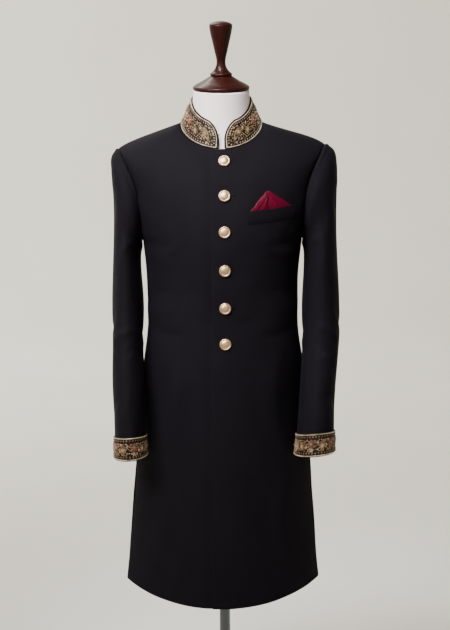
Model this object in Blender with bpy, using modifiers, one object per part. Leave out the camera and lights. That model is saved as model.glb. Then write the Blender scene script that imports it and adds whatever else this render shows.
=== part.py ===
"""A long band-collar coat (sherwani) on a limbless dress form with a turned wooden neck cap.

Metres, +Z up, the wearer faces -Y and the wearer's left is +X. The origin is on the floor, on
the axis of the stand. Every garment piece is a cloth wall. Its outer face is a loft of named
sections, and neighbouring pieces share the edge curve that joins them and stop SEAM_GAP apart.
"""

import math

import bmesh
import bpy
import numpy as np
from mathutils import Vector

# Cloth
CLOTH = 0.0020
COLLAR_CLOTH = 0.0024
CUFF_CLOTH = 0.0018
SEAM_GAP = 0.0003
OVERLAP_DROP = 0.0024        # how far the under front lies below the upper one

# Neckline and shoulder, outer face
NECK_HALF_WIDTH = 0.0874
NECK_SIDE_Z = 1.5165
NECK_FRONT = (-0.082, 1.461)  # y, z at the centre front
NECK_BACK = (0.070, 1.530)    # y, z at the nape
SHOULDER_TIP_X = 0.2236
SHOULDER_SLOPE = 0.3515
SHOULDER_ROUNDING = 0.0068
NECK_SHARE = 0.40             # share of a front's width, at the top, that is neckline

# Armhole
ARMHOLE_FRONT_DEPTH = 0.062
ARMHOLE_BACK_DEPTH = 0.068

# Front closing
BUTTON_STAND = 0.022          # how far each front runs past the centre line
UNDERLAP_EASE = (0.042, 0.0225)  # the under front drops between these distances from the centre
STAND_TOP_DROP = 0.0015
BUTTON_RADIUS = 0.0123
BUTTON_X = 0.0052
BUTTON_HEIGHTS = (1.4355, 1.3635, 1.2885, 1.2075, 1.1270, 1.0505)

# Chest pocket, on the wearer's left front: x, z on the panel
WELT_LOW_INNER = (0.0545, 1.3035)
WELT_LENGTH = 0.099
WELT_HEIGHT = 0.026
WELT_RISE_DEG = 5.5
WELT_CLOTH = 0.0016
WELT_MOUTH = 0.0017           # how far the welt's top edge stands off its foot
SQUARE_BASE = (0.0585, 0.1415)  # x of the folded corners at the pocket's mouth
SQUARE_TIP = ((0.0905, 1.3725), (0.0995, 1.3715))
SQUARE_TUCK = 0.006
SQUARE_CLOTH = 0.0010
SQUARE_PUFF = 0.0022

# Collar, outer face
COLLAR_END_X = 0.0080
COLLAR_TOP_HALF_WIDTH = 0.0642
COLLAR_TOP_SIDE_Z = 1.5665
COLLAR_TOP_FRONT = (-0.0745, 1.515)
COLLAR_TOP_BACK = (0.0650, 1.587)
COLLAR_ROUNDING = 0.024       # how far along the top edge the rounded front corner reaches
COLLAR_CORNER_START = 0.30    # share of the height where that corner starts

# Cuff band
CUFF_HEIGHT = 0.044
CUFF_FLARE = 0.0012
CUFF_OVERHANG = 0.0010

# Dress form and stand
FORM_EASE = 0.0070
FORM_SHOULDER_EASE = CLOTH + 0.0004
FORM_NECKLINE_EASE = 0.0062
FORM_BOTTOM_Z = 0.820
FORM_ARM_PLATE = 0.006
CAP_CENTRE = (0.0, -0.004, 1.5845)
CAP_TILT_DEG = 7.5
CAP_RADIUS = 0.0610
CAP_HEIGHT = 0.0305
NECK_RADIUS = 0.0604
POLE_RADIUS = 0.012
BASE_RADIUS = 0.180
BASE_THICKNESS = 0.022

SMALL = 1e-4                  # step used when a slope is measured
NECK_POINT_LENGTH = 1.25      # keeps the walls' thickness where front, back and collar meet

# Sections of the front, bottom to top. Up to the underarm the side point is on the side seam,
# above it on the armhole. Columns: place along the side, centre height, centre depth, side half
# width, side height, arc in degrees (90 is a round side, less is a creased one), and how far
# the section is pushed back and lifted where it passes below the neck point.
SECTION_COLUMNS = ("along", "centre_z", "centre_y", "side_x", "side_z", "arc", "push", "lift")
FRONT_SECTIONS = {
    "hem":       (0.000, 0.470, -0.1340, 0.2177, 0.500, 62.0, 0.000, 0.000),
    "knee":      (0.131, 0.615, -0.1335, 0.2032, 0.631, 66.0, 0.000, 0.000),
    "thigh":     (0.269, 0.764, -0.1330, 0.1922, 0.769, 72.0, 0.000, 0.000),
    "hip":       (0.400, 0.899, -0.1320, 0.1820, 0.900, 80.0, 0.000, 0.000),
    "high hip":  (0.500, 1.000, -0.1300, 0.1747, 1.000, 87.0, 0.000, 0.000),
    "low waist": (0.550, 1.050, -0.1285, 0.1672, 1.050, 90.0, 0.000, 0.000),
    "waist":     (0.620, 1.120, -0.1280, 0.1645, 1.120, 90.0, 0.000, 0.000),
    "ribs":      (0.695, 1.193, -0.1325, 0.1666, 1.195, 90.0, 0.000, 0.000),
    "underarm":  (0.762, 1.252, -0.1360, 0.1732, 1.262, 90.0, 0.000, 0.000),
    "chest":     (0.814, 1.294, -0.1340, 0.1733, 1.281, 84.0, 0.000, 0.002),
    "upper":     (0.866, 1.339, -0.1275, 0.1752, 1.331, 78.0, 0.002, 0.009),
    "collarbone": (0.918, 1.385, -0.1155, 0.1880, 1.393, 76.0, 0.009, 0.024),
    "yoke":      (0.970, 1.426, -0.0995, 0.2115, 1.443, 75.0, 0.030, 0.046),
}
BACK_SECTIONS = {
    "hem":       (0.000, 0.496, 0.1420, 0.2177, 0.500, 62.0, 0.000, 0.000),
    "knee":      (0.131, 0.629, 0.1390, 0.2032, 0.631, 66.0, 0.000, 0.000),
    "thigh":     (0.269, 0.768, 0.1360, 0.1922, 0.769, 72.0, 0.000, 0.000),
    "hip":       (0.400, 0.900, 0.1310, 0.1820, 0.900, 80.0, 0.000, 0.000),
    "high hip":  (0.500, 1.000, 0.1200, 0.1747, 1.000, 87.0, 0.000, 0.000),
    "low waist": (0.550, 1.050, 0.1130, 0.1672, 1.050, 90.0, 0.000, 0.000),
    "waist":     (0.620, 1.120, 0.1080, 0.1645, 1.120, 90.0, 0.000, 0.000),
    "ribs":      (0.695, 1.196, 0.1140, 0.1666, 1.195, 90.0, 0.000, 0.000),
    "underarm":  (0.762, 1.266, 0.1230, 0.1732, 1.262, 90.0, 0.000, 0.000),
    "chest":     (0.814, 1.318, 0.1270, 0.1733, 1.281, 84.0, 0.000, 0.000),
    "upper":     (0.866, 1.371, 0.1265, 0.1752, 1.331, 78.0, 0.000, 0.002),
    "collarbone": (0.918, 1.424, 0.1185, 0.1880, 1.393, 76.0, -0.003, 0.008),
    "yoke":      (0.970, 1.478, 0.1000, 0.2115, 1.443, 75.0, -0.014, 0.014),
}
TOP_ALONG = 1.022             # place along the side where the shoulder seam is reached
TOP_ARC = 75.0
UNDERARM_ALONG = 0.762

# Sections of the sleeve, from the sleeve head to the wrist. Columns: place along the sleeve,
# centre x, y, z, half width, half depth, rise of the outer side, rise of the front.
SLEEVE_SECTIONS = {
    "cap":      (0.100, 0.2090, 0.004, 1.3180, 0.0350, 0.0780, 0.070, 0.000),
    "biceps":   (0.190, 0.2115, 0.002, 1.2350, 0.0332, 0.0800, 0.012, 0.000),
    "upper arm": (0.290, 0.2133, -0.007, 1.1300, 0.0348, 0.0760, 0.000, 0.000),
    "elbow":    (0.385, 0.2128, -0.028, 1.0400, 0.0353, 0.0710, 0.000, 0.002),
    "forearm":  (0.475, 0.2060, -0.059, 0.9500, 0.0361, 0.0665, 0.000, 0.006),
    "low arm":  (0.560, 0.2025, -0.081, 0.8670, 0.0368, 0.0615, 0.000, 0.009),
    "wrist":    (0.625, 0.2004, -0.094, 0.8050, 0.0385, 0.0590, 0.000, 0.0015),
}
CROWN_ALONG = 0.030
CROWN_SHARE = 0.24            # how far the crown ring lies from the armhole to the cap ring
CROWN_FORWARD = 0.0085
WRIST_ALONG = 0.625
# The two sleeves hang unlike each other. For each place along: how far the sleeve stands off the
# body and how much wider it shows. Then the rise of the wrist's outer side, and how far the
# sleeve head rolls out and up beyond the line from the armhole to the cap ring.
SLEEVE_HANG_ALONG = (0.190, 0.290, 0.385, 0.475, 0.625)
SLEEVE_HANG = {
    "left":  ((0.0025, 0.0025), (0.0008, 0.0052), (0.0008, 0.0052), (-0.0005, 0.0025), (-0.0038, 0.0028)),
    "right": ((-0.0036, -0.0036), (-0.0062, -0.0011), (-0.0052, -0.0018), (-0.0010, -0.0010), (0.0009, -0.0051)),
}
WRIST_RISE = {"left": 0.0025, "right": -0.0020}
CROWN_ROLL = {"left": (0.0095, 0.0080), "right": (0.0085, 0.0045)}

# How the coat sits: the left shoulder higher, the skirt towards the right, the slits apart
SHOULDER_LIFT = 0.0062
SKIRT_SWAY = -0.0042
SLIT_TOP_ALONG = 0.375
SLIT_GAP = 0.0070

# Rings of the form's neck, bottom to top: half width, front y, back y, front z, side z, back z
NECK_RINGS = (
    (0.0745, -0.0700, 0.0620, 1.480, 1.527, 1.540),
    (0.0655, -0.0640, 0.0575, 1.505, 1.545, 1.556),
    (0.0618, -0.0622, 0.0565, 1.535, 1.562, 1.572),
)

COLLECTION = "sherwani_on_form"


def spline_weights(knots, places, clamped_end):
    """Weights that turn values at the knots into values at the places, for a cubic spline with
    free ends, or with a given slope at the last knot: then the last column is its weight."""
    count = len(knots)
    gaps = np.diff(knots)
    left = np.zeros((count, count))
    right = np.zeros((count, count + 1))
    left[0, 0] = 1.0
    for k in range(1, count - 1):
        left[k, k - 1:k + 2] = gaps[k - 1] / 6, (gaps[k - 1] + gaps[k]) / 3, gaps[k] / 6
        right[k, k - 1:k + 2] = 1 / gaps[k - 1], -1 / gaps[k - 1] - 1 / gaps[k], 1 / gaps[k]
    if clamped_end:
        left[-1, -2:] = gaps[-1] / 6, gaps[-1] / 3
        right[-1, -3:] = 1 / gaps[-1], -1 / gaps[-1], 1.0
    else:
        left[-1, -1] = 1.0
    bend = np.linalg.solve(left, right)
    places = np.clip(np.asarray(places, float), knots[0], knots[-1])
    span = np.clip(np.searchsorted(knots, places, side="right") - 1, 0, count - 2)
    gap = gaps[span]
    before = (np.asarray(knots)[span + 1] - places)[..., None]
    after = (places - np.asarray(knots)[span])[..., None]
    gap = gap[..., None]
    unit = np.eye(count, count + 1)
    return (
        (before ** 3 * bend[span] + after ** 3 * bend[span + 1]) / (6 * gap)
        + (unit[span] / gap - gap * bend[span] / 6) * before
        + (unit[span + 1] / gap - gap * bend[span + 1] / 6) * after
    )


def unit(vectors):
    return vectors / np.maximum(np.linalg.norm(vectors, axis=-1, keepdims=True), 1e-12)


def smooth(share):
    share = np.clip(share, 0, 1)
    return share * share * (3 - 2 * share)


def columns_of(sections):
    table = np.array(list(sections.values()))
    return {name: table[:, k] for k, name in enumerate(SECTION_COLUMNS)}


def arc_share(u, arc):
    """(sideways, backwards) shares along an elliptic arc, both 0 at u = 0 and 1 at u = 1."""
    turn = np.radians(arc)
    return np.sin(u * turn) / np.sin(turn), (1 - np.cos(u * turn)) / (1 - np.cos(turn))


def top_edge(u, neck_centre):
    """The neckline, a quarter ellipse from the centre to the neck point, then the shoulder seam."""
    across = arc_share(u, TOP_ARC)[0]
    corner = arc_share(NECK_SHARE, TOP_ARC)[0]
    turn = np.pi / 2 * np.clip(across / corner, -1, 1)
    along_seam = np.clip((np.abs(across) - corner) / (1 - corner), 0, 1)
    seam_length = SHOULDER_TIP_X - NECK_HALF_WIDTH
    x = NECK_HALF_WIDTH * np.sin(turn) + np.sign(u) * seam_length * along_seam
    y = neck_centre[0] * np.cos(turn)
    z = NECK_SIDE_Z + (neck_centre[1] - NECK_SIDE_Z) * np.cos(turn)
    z = z - SHOULDER_SLOPE * seam_length * along_seam - SHOULDER_ROUNDING * along_seam ** 8
    return np.stack([x, y, z], -1)


def below_neck(u):
    """1 under the neck point and 0 at the centre and the armhole, with no crease between."""
    across = np.abs(arc_share(u, TOP_ARC)[0])
    corner = arc_share(NECK_SHARE, TOP_ARC)[0]
    inner = np.sin(np.pi / 2 * np.clip(across / corner, 0, 1)) ** 2
    outer = np.cos(np.pi / 2 * np.clip((across - corner) / (1 - corner), 0, 1)) ** 2
    return np.where(across < corner, inner, outer)


def body(side, u, v):
    """A point of the coat's body, outer face. side is "front" or "back", u runs from the centre
    (0) to the side seam or armhole (1), v is the place along the side, from hem to shoulder.
    Each column of equal u is a cubic spline through the sections and the top edge."""
    u, v = np.broadcast_arrays(np.asarray(u, float), np.asarray(v, float))
    sections = FRONT_SECTIONS if side == "front" else BACK_SECTIONS
    neck_centre = NECK_FRONT if side == "front" else NECK_BACK
    table = columns_of(sections)
    across, back = arc_share(u[..., None], table["arc"])
    hollow = below_neck(u)[..., None]
    rows = np.stack(
        [
            table["side_x"] * across,
            table["centre_y"] * (1 - back) + table["push"] * hollow,
            table["centre_z"] + (table["side_z"] - table["centre_z"]) * across ** 2
            + table["lift"] * hollow,
        ],
        -1,
    )
    top = top_edge(u, neck_centre)
    last_gap = TOP_ALONG - table["along"][-1]
    chord = (top - rows[..., -1, :]) / last_gap
    level = np.clip(np.abs(arc_share(u, TOP_ARC)[0]) / arc_share(NECK_SHARE, TOP_ARC)[0], 0, 1)
    level = smooth(level)[..., None]
    slope = chord * (1 + level * np.array([0.0, 0.30, -0.85]))
    data = np.concatenate([rows, top[..., None, :], slope[..., None, :]], -2)
    knots = np.append(table["along"], TOP_ALONG)
    weights = spline_weights(knots, v, clamped_end=True)
    point = np.einsum("...k,...kc->...c", weights, data)
    depth = -ARMHOLE_FRONT_DEPTH if side == "front" else ARMHOLE_BACK_DEPTH
    up = np.clip((v - UNDERARM_ALONG) / (TOP_ALONG - UNDERARM_ALONG), 0, 1)
    arc = np.interp(v, knots, np.append(table["arc"], TOP_ARC))
    point[..., 1] += depth * np.sin(np.pi * up) * arc_share(u, arc)[1]
    return point


def body_normal(side, u, v):
    """The outward unit normal of the body's outer face."""
    u, v = np.broadcast_arrays(np.asarray(u, float), np.asarray(v, float))
    high_u, low_u = np.minimum(u + SMALL, 1), np.maximum(u - SMALL, -1)
    high_v, low_v = np.minimum(v + SMALL, TOP_ALONG), np.maximum(v - SMALL, 0)
    across = body(side, high_u, v) - body(side, low_u, v)
    along = body(side, u, high_v) - body(side, u, low_v)
    normal = unit(np.cross(across, along))
    return normal if side == "front" else -normal


def panel_place(x, z):
    """(u, v) on the front where its outer face has this x and z, by Newton steps."""
    x, z = np.broadcast_arrays(np.asarray(x, float), np.asarray(z, float))
    u, v = x / 0.2, z - 0.5
    for _ in range(12):
        here = body("front", u, v)
        by_u = (body("front", u + SMALL, v) - here) / SMALL
        by_v = (body("front", u, v + SMALL) - here) / SMALL
        miss_x, miss_z = x - here[..., 0], z - here[..., 2]
        area = by_u[..., 0] * by_v[..., 2] - by_v[..., 0] * by_u[..., 2]
        u = u + (miss_x * by_v[..., 2] - miss_z * by_v[..., 0]) / area
        v = v + (miss_z * by_u[..., 0] - miss_x * by_u[..., 2]) / area
    return u, v


def armhole_inward(side, up):
    """The direction of the seam face round the armhole, towards the inside of the sleeve. up
    is 0 at the underarm and 1 at the shoulder tip."""
    turn = np.pi * (np.asarray(up) - 0.5)
    sign = 1 if side == "front" else -1
    return unit(np.stack([-0.7 * (1 + np.sin(turn)) / 2, sign * np.cos(turn), -np.sin(turn)], -1))


def collar_bottom(turn):
    """The neckline seen as a closed ring. turn is 0 at the centre front and pi at the nape."""
    front = np.cos(turn) > 0
    centre_y = np.where(front, NECK_FRONT[0], NECK_BACK[0])
    centre_z = np.where(front, NECK_FRONT[1], NECK_BACK[1])
    level = np.abs(np.cos(turn))
    return np.stack(
        [
            NECK_HALF_WIDTH * np.sin(turn),
            centre_y * level,
            NECK_SIDE_Z + (centre_z - NECK_SIDE_Z) * level,
        ],
        -1,
    )


def collar_top(turn):
    front = np.cos(turn) > 0
    centre_y = np.where(front, COLLAR_TOP_FRONT[0], COLLAR_TOP_BACK[0])
    centre_z = np.where(front, COLLAR_TOP_FRONT[1], COLLAR_TOP_BACK[1])
    level = np.abs(np.cos(turn))
    return np.stack(
        [
            COLLAR_TOP_HALF_WIDTH * np.sin(turn),
            centre_y * level,
            COLLAR_TOP_SIDE_Z + (centre_z - COLLAR_TOP_SIDE_Z) * level,
        ],
        -1,
    )


def collar(turn, height):
    height = np.asarray(height, float)[..., None]
    return collar_bottom(turn) * (1 - height) + collar_top(turn) * height


def collar_normal(turn, height):
    turn, height = np.broadcast_arrays(np.asarray(turn, float), np.asarray(height, float))
    round_it = collar(turn + SMALL, height) - collar(turn - SMALL, height)
    rise = collar(turn, 1.0 + 0 * height) - collar(turn, 0 * height)
    return unit(np.cross(round_it, rise))


def mitre(*faces):
    """The seam direction that several faces share, with the length that keeps a wall's
    thickness."""
    shared = unit(sum(faces))
    return shared / np.maximum((shared * faces[0]).sum(-1, keepdims=True), 0.6)


def sleeve(turn, along, hand):
    """A point of the sleeve, outer face, with both hands at +X. turn is 0 at the front, pi/2 at
    the outer side, pi at the back and -pi/2 at the underarm. The first ring is the armhole."""
    turn, along = np.broadcast_arrays(np.asarray(turn, float), np.asarray(along, float))
    table = np.array(list(SLEEVE_SECTIONS.values()))
    knots, centre_x, centre_y, centre_z, half_x, half_y, rise_out, rise_front = table.T
    off, wide = (np.interp(knots, SLEEVE_HANG_ALONG, way) for way in zip(*SLEEVE_HANG[hand]))
    centre_x, half_x, half_y = centre_x + off, half_x + wide, half_y - 0.8 * wide
    rise_out = rise_out + WRIST_RISE[hand] * np.clip((knots - 0.385) / 0.240, 0, 1)
    crown_out, crown_up = CROWN_ROLL[hand]
    out, front = np.sin(turn)[..., None], np.cos(turn)[..., None]
    rings = np.stack(
        [
            centre_x + half_x * out,
            centre_y - half_y * front,
            centre_z + rise_out * out + rise_front * front,
        ],
        -1,
    )
    up = np.arcsin(np.clip(np.sin(turn), -1, 1)) / np.pi + 0.5
    seam_place = UNDERARM_ALONG + (TOP_ALONG - UNDERARM_ALONG) * up
    on_front = (np.cos(turn) >= 0)[..., None]
    armhole = np.where(on_front, body("front", 1.0, seam_place), body("back", 1.0, seam_place))
    bulge = np.stack(
        [
            crown_out * np.clip(np.sin(turn), 0, 1) + 0.002,
            -CROWN_FORWARD * np.cos(turn),
            crown_up * np.clip(np.sin(turn), 0, 1),
        ],
        -1,
    )
    crown = armhole + (rings[..., 0, :] - armhole) * CROWN_SHARE + bulge
    data = np.concatenate([armhole[..., None, :], crown[..., None, :], rings], -2)
    weights = spline_weights(np.append([0.0, CROWN_ALONG], knots), along, clamped_end=False)
    return np.einsum("...k,...kc->...c", weights[..., :-1], data)


def sleeve_normal(turn, along, hand):
    turn, along = np.broadcast_arrays(np.asarray(turn, float), np.asarray(along, float))
    high, low = np.minimum(along + SMALL, WRIST_ALONG), np.maximum(along - SMALL, 0)
    round_it = sleeve(turn + SMALL, along, hand) - sleeve(turn - SMALL, along, hand)
    down = sleeve(turn, high, hand) - sleeve(turn, low, hand)
    return unit(np.cross(down, round_it))


def settle(points, skirt=False):
    """Moves points to where the coat really sits: it lifts the left shoulder and what hangs from
    it, and sways the skirt."""
    points = np.array(points, float)
    x, z = points[..., 0].copy(), points[..., 2].copy()
    lift = SHOULDER_LIFT * smooth((x - 0.095) / 0.125)
    if skirt:
        lift = lift * (0.4 + 0.6 * smooth((z - 0.70) / 0.40))
        points[..., 0] += SKIRT_SWAY * smooth((0.97 - z) / 0.50)
    points[..., 2] += lift
    return points


def new_object(name, mesh, colour, roughness, metallic=0.0):
    obj = bpy.data.objects.new(name, mesh)
    bpy.data.collections[COLLECTION].objects.link(obj)
    material = bpy.data.materials.get(colour[0])
    if material is None:
        material = bpy.data.materials.new(colour[0])
        material.use_nodes = True
        shader = material.node_tree.nodes["Principled BSDF"]
        shader.inputs["Base Color"].default_value = (*colour[1:], 1.0)
        shader.inputs["Roughness"].default_value = roughness
        shader.inputs["Metallic"].default_value = metallic
    if not mesh.materials:
        mesh.materials.append(material)
    return obj


def mesh_of(name, points, faces):
    mesh = bpy.data.meshes.new(name)
    mesh.from_pydata([tuple(p) for p in points], [], faces)
    work = bmesh.new()
    work.from_mesh(mesh)
    bmesh.ops.recalc_face_normals(work, faces=work.faces)
    work.to_mesh(mesh)
    work.free()
    mesh.shade_smooth()
    mesh.set_sharp_from_angle(angle=math.radians(40))
    return mesh


def wall(name, outer, inner, ring=False):
    """A closed wall between two grids of points, indexed [row, column]. ring joins the last
    column to the first. Every quad is cut in two by a rule that depends on the place alone, so
    that two walls that meet at a seam cut its face alike."""
    rows, columns = outer.shape[:2]
    points = np.concatenate([outer.reshape(-1, 3), inner.reshape(-1, 3)])
    shift = rows * columns
    faces = []

    def add(a, b, c, d, cut_ac):
        faces.extend([[a, b, c], [a, c, d]] if cut_ac else [[a, b, d], [b, c, d]])

    def rank(k):
        x, y, z = points[k]
        return abs(x) - 0.29 * y + 0.731 * z

    def rim(a, b):
        add(a, b, shift + b, shift + a, rank(a) > rank(b))

    def corner(row, column):
        return row * columns + column % columns

    for row in range(rows - 1):
        for column in range(columns if ring else columns - 1):
            a, b = corner(row, column), corner(row, column + 1)
            c, d = corner(row + 1, column + 1), corner(row + 1, column)
            cut_ac = np.linalg.norm(points[a] - points[c]) < np.linalg.norm(points[b] - points[d])
            add(a, b, c, d, cut_ac)
            add(shift + a, shift + b, shift + c, shift + d, cut_ac)
    for column in range(columns if ring else columns - 1):
        rim(corner(0, column), corner(0, column + 1))
        rim(corner(rows - 1, column), corner(rows - 1, column + 1))
    if not ring:
        for row in range(rows - 1):
            rim(corner(row, 0), corner(row + 1, 0))
            rim(corner(row, columns - 1), corner(row + 1, columns - 1))
    return mesh_of(name, points, faces)


EDGES = {
    "first row": (np.s_[0], np.s_[1]),
    "last row": (np.s_[-1], np.s_[-2]),
    "first column": (np.s_[:, 0], np.s_[:, 1]),
    "last column": (np.s_[:, -1], np.s_[:, -2]),
}


def draw_back(outer, inner, edge, by=SEAM_GAP / 2):
    """Pulls one edge of a wall back along the panel."""
    here, beside = EDGES[edge]
    step = unit(outer[beside] - outer[here]) * by
    outer[here] += step
    inner[here] += step


def slit():
    """How far each row of a side seam is drawn back: half the seam gap, and below the top of
    the side slit half of its widening gap."""
    drop = np.clip((SLIT_TOP_ALONG - ROWS) / SLIT_TOP_ALONG, 0, 1)
    return (SEAM_GAP / 2 + SLIT_GAP / 2 * drop ** 0.7)[:, None]


# Shared grids: the sleeve's first ring has its corners on the rows of the body's armhole
ARMHOLE_STEPS = 8
NECK_STEPS = {"front": 6, "back": 4}
SHOULDER_STEPS = 6
LOW_ROWS = np.concatenate(
    [np.linspace(0, 0.5, 10)[:-1], np.linspace(0.5, UNDERARM_ALONG, 7)[:-1]]
)
HIGH_ROWS = np.linspace(UNDERARM_ALONG, TOP_ALONG, ARMHOLE_STEPS + 1)
ROWS = np.concatenate([LOW_ROWS, HIGH_ROWS])


def neck_columns(side):
    """u of the columns that end on the neckline, so that the collar can share their corners."""
    if side == "front":
        collar_end = math.asin(COLLAR_END_X / NECK_HALF_WIDTH)
        stand_end = math.asin(UNDERLAP_EASE[1] / NECK_HALF_WIDTH)
        rest = np.linspace(stand_end, math.pi / 2, NECK_STEPS["front"] - 1)
        turns = np.concatenate([[0.0, collar_end], rest])
    else:
        turns = np.linspace(0, math.pi / 2, NECK_STEPS["back"] + 1)
    turning = math.radians(TOP_ARC)
    corner = arc_share(NECK_SHARE, TOP_ARC)[0]
    across = turns / (math.pi / 2) * corner * math.sin(turning)
    return np.arcsin(across) / turning, turns


def panel_grid(side):
    """(u, v) of a panel's grid, u by columns and v by rows. On a front the columns beside the
    button stand keep their distance from the centre line, so that both fronts bend alike."""
    inner = neck_columns(side)[0]
    outer = np.linspace(NECK_SHARE, 1.0, SHOULDER_STEPS + 1)[1:]
    u = np.tile(np.concatenate([inner, outer]), (len(ROWS), 1))
    v = np.broadcast_to(ROWS[:, None], u.shape)
    if side == "front":
        width = body("front", SMALL, ROWS)[:, 0] / SMALL
        stand_end = UNDERLAP_EASE[1]
        u[:-1, 1:3] = np.array([COLLAR_END_X, stand_end]) / width[:-1, None]
        stand = -np.array([BUTTON_STAND, COLLAR_END_X]) / width[:, None]
        stand[-1, 1] = -u[-1, 1]
        stand[-1, 0] = -u[-1, 2] * BUTTON_STAND / stand_end
        u = np.concatenate([stand, u], 1)
        v = np.broadcast_to(ROWS[:, None], u.shape)
    return u, v


def top_directions(side, u):
    """Wall directions along the top edge: shared with the collar on the neckline, with the other
    side's panel on the shoulder, with both at the neck point and with the sleeve at the tip."""
    other = "back" if side == "front" else "front"
    size = np.abs(u)
    inset = np.where(size <= NECK_SHARE + 1e-9, np.abs(size - SMALL), np.minimum(size, 1 - SMALL))
    face = body_normal(side, inset, TOP_ALONG + 0 * inset)
    beyond = body_normal(other, inset, TOP_ALONG + 0 * inset)
    corner = arc_share(NECK_SHARE, TOP_ARC)[0]
    turn = np.pi / 2 * np.clip(arc_share(size, TOP_ARC)[0] / corner, 0, 1)
    band = collar_normal(turn if side == "front" else np.pi - turn, 0 * turn)
    direction = np.where((size < NECK_SHARE)[:, None], mitre(face, band), mitre(face, beyond))
    at_point = np.abs(size - NECK_SHARE) < 1e-6
    direction = np.where(at_point[:, None], NECK_POINT_LENGTH * unit(face + beyond + band), direction)
    direction[size > 1 - 1e-9] = -armhole_inward(side, 1.0)
    return direction * np.stack([np.where(u < 0, -1, 1), 1 + 0 * u, 1 + 0 * u], -1)


def seam_normals(side, u, v):
    """Wall directions of a panel's grid: the face's own normal inside, and on a seam the one it
    shares with the piece beyond."""
    other = "back" if side == "front" else "front"
    normal = body_normal(side, u, v)
    edge = np.s_[:, -1]
    below = ROWS <= UNDERARM_ALONG + SMALL
    shared = mitre(normal[edge], body_normal(other, u[edge], v[edge]))
    up = np.clip((ROWS - UNDERARM_ALONG) / (TOP_ALONG - UNDERARM_ALONG), 0, 1)
    normal[edge] = np.where(below[:, None], shared, -armhole_inward(side, up))
    normal[np.argmax(ROWS >= UNDERARM_ALONG - SMALL), -1] = -armhole_inward(side, 0.0)
    normal[-1] = top_directions(side, u[-1])
    return normal


def front_panel(name, mirrored):
    """One front. The mirrored one is the wearer's right, and lies under the other at the centre."""
    u, v = panel_grid("front")
    outer = body("front", u, v)
    outer[-1, :2] -= unit(outer[-1, :2] - outer[-2, :2]) * STAND_TOP_DROP
    normal = seam_normals("front", u, v)
    if mirrored:
        start, end = UNDERLAP_EASE
        share = smooth((start - outer[..., 0]) / (start - end))
        outer = outer - normal * OVERLAP_DROP * share[..., None]
    inner = outer - normal * CLOTH
    draw_back(outer, inner, "last column", slit())
    draw_back(outer, inner, "last row")
    if mirrored:
        outer[..., 0] *= -1
        inner[..., 0] *= -1
    mesh = wall(name, settle(outer, skirt=True), settle(inner, skirt=True))
    return new_object(name, mesh, BLACK_WOOL, 0.75)


def back_panel(name, mirrored):
    u, v = panel_grid("back")
    outer = body("back", u, v)
    inner = outer - seam_normals("back", u, v) * CLOTH
    draw_back(outer, inner, "first column")
    draw_back(outer, inner, "last column", slit())
    draw_back(outer, inner, "last row")
    if mirrored:
        outer[..., 0] *= -1
        inner[..., 0] *= -1
    mesh = wall(name, settle(outer, skirt=True), settle(inner, skirt=True))
    return new_object(name, mesh, BLACK_WOOL, 0.75)


SLEEVE_ROWS = np.array(
    [0, 0.012, 0.030, 0.060, 0.100, 0.145, 0.190, 0.240, 0.290, 0.335, 0.385, 0.430, 0.475,
     0.520, WRIST_ALONG - CUFF_HEIGHT, WRIST_ALONG]
)
UNDER_SLEEVE_STEPS = 2        # grid steps from the underarm to each sleeve seam


def sleeve_turns(first, last):
    return np.pi / ARMHOLE_STEPS * np.arange(first, last + 1)


def sleeve_wall_directions(turns, along, hand):
    normal = sleeve_normal(turns, along, hand)
    up = np.arcsin(np.clip(np.sin(turns[0]), -1, 1)) / np.pi + 0.5
    on_front = (np.cos(turns[0]) >= -1e-9)[:, None]
    normal[0] = -np.where(on_front, armhole_inward("front", up), armhole_inward("back", up))
    return normal


def sleeve_panel(name, first, last, hand):
    turns, along = np.broadcast_arrays(sleeve_turns(first, last)[None, :], SLEEVE_ROWS[:, None])
    outer = sleeve(turns, along, hand)
    inner = outer - sleeve_wall_directions(turns, along, hand) * CLOTH
    draw_back(outer, inner, "first row")
    draw_back(outer, inner, "first column")
    draw_back(outer, inner, "last column")
    if hand == "right":
        outer[..., 0] *= -1
        inner[..., 0] *= -1
    return new_object(name, wall(name, settle(outer), settle(inner)), BLACK_WOOL, 0.75)


def cuff_band(name, hand):
    """The embroidered band, laid round the sleeve's end and moved out from its face."""
    share = np.linspace(0, 1, 3)[:, None]
    along = WRIST_ALONG - CUFF_HEIGHT * (1 - share)
    turns, along = np.broadcast_arrays(sleeve_turns(0, 2 * ARMHOLE_STEPS - 1)[None, :], along)
    normal = sleeve_normal(turns, along, hand)
    face = sleeve(turns, along, hand)
    face[-1, :, 2] -= CUFF_OVERHANG
    lift = SEAM_GAP + CUFF_FLARE * share[..., None]
    outer = face + normal * (lift + CUFF_CLOTH)
    inner = face + normal * lift
    if hand == "right":
        outer[..., 0] *= -1
        inner[..., 0] *= -1
    return new_object(name, wall(name, settle(outer), settle(inner), ring=True), ZARI_BAND, 0.6)


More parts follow.
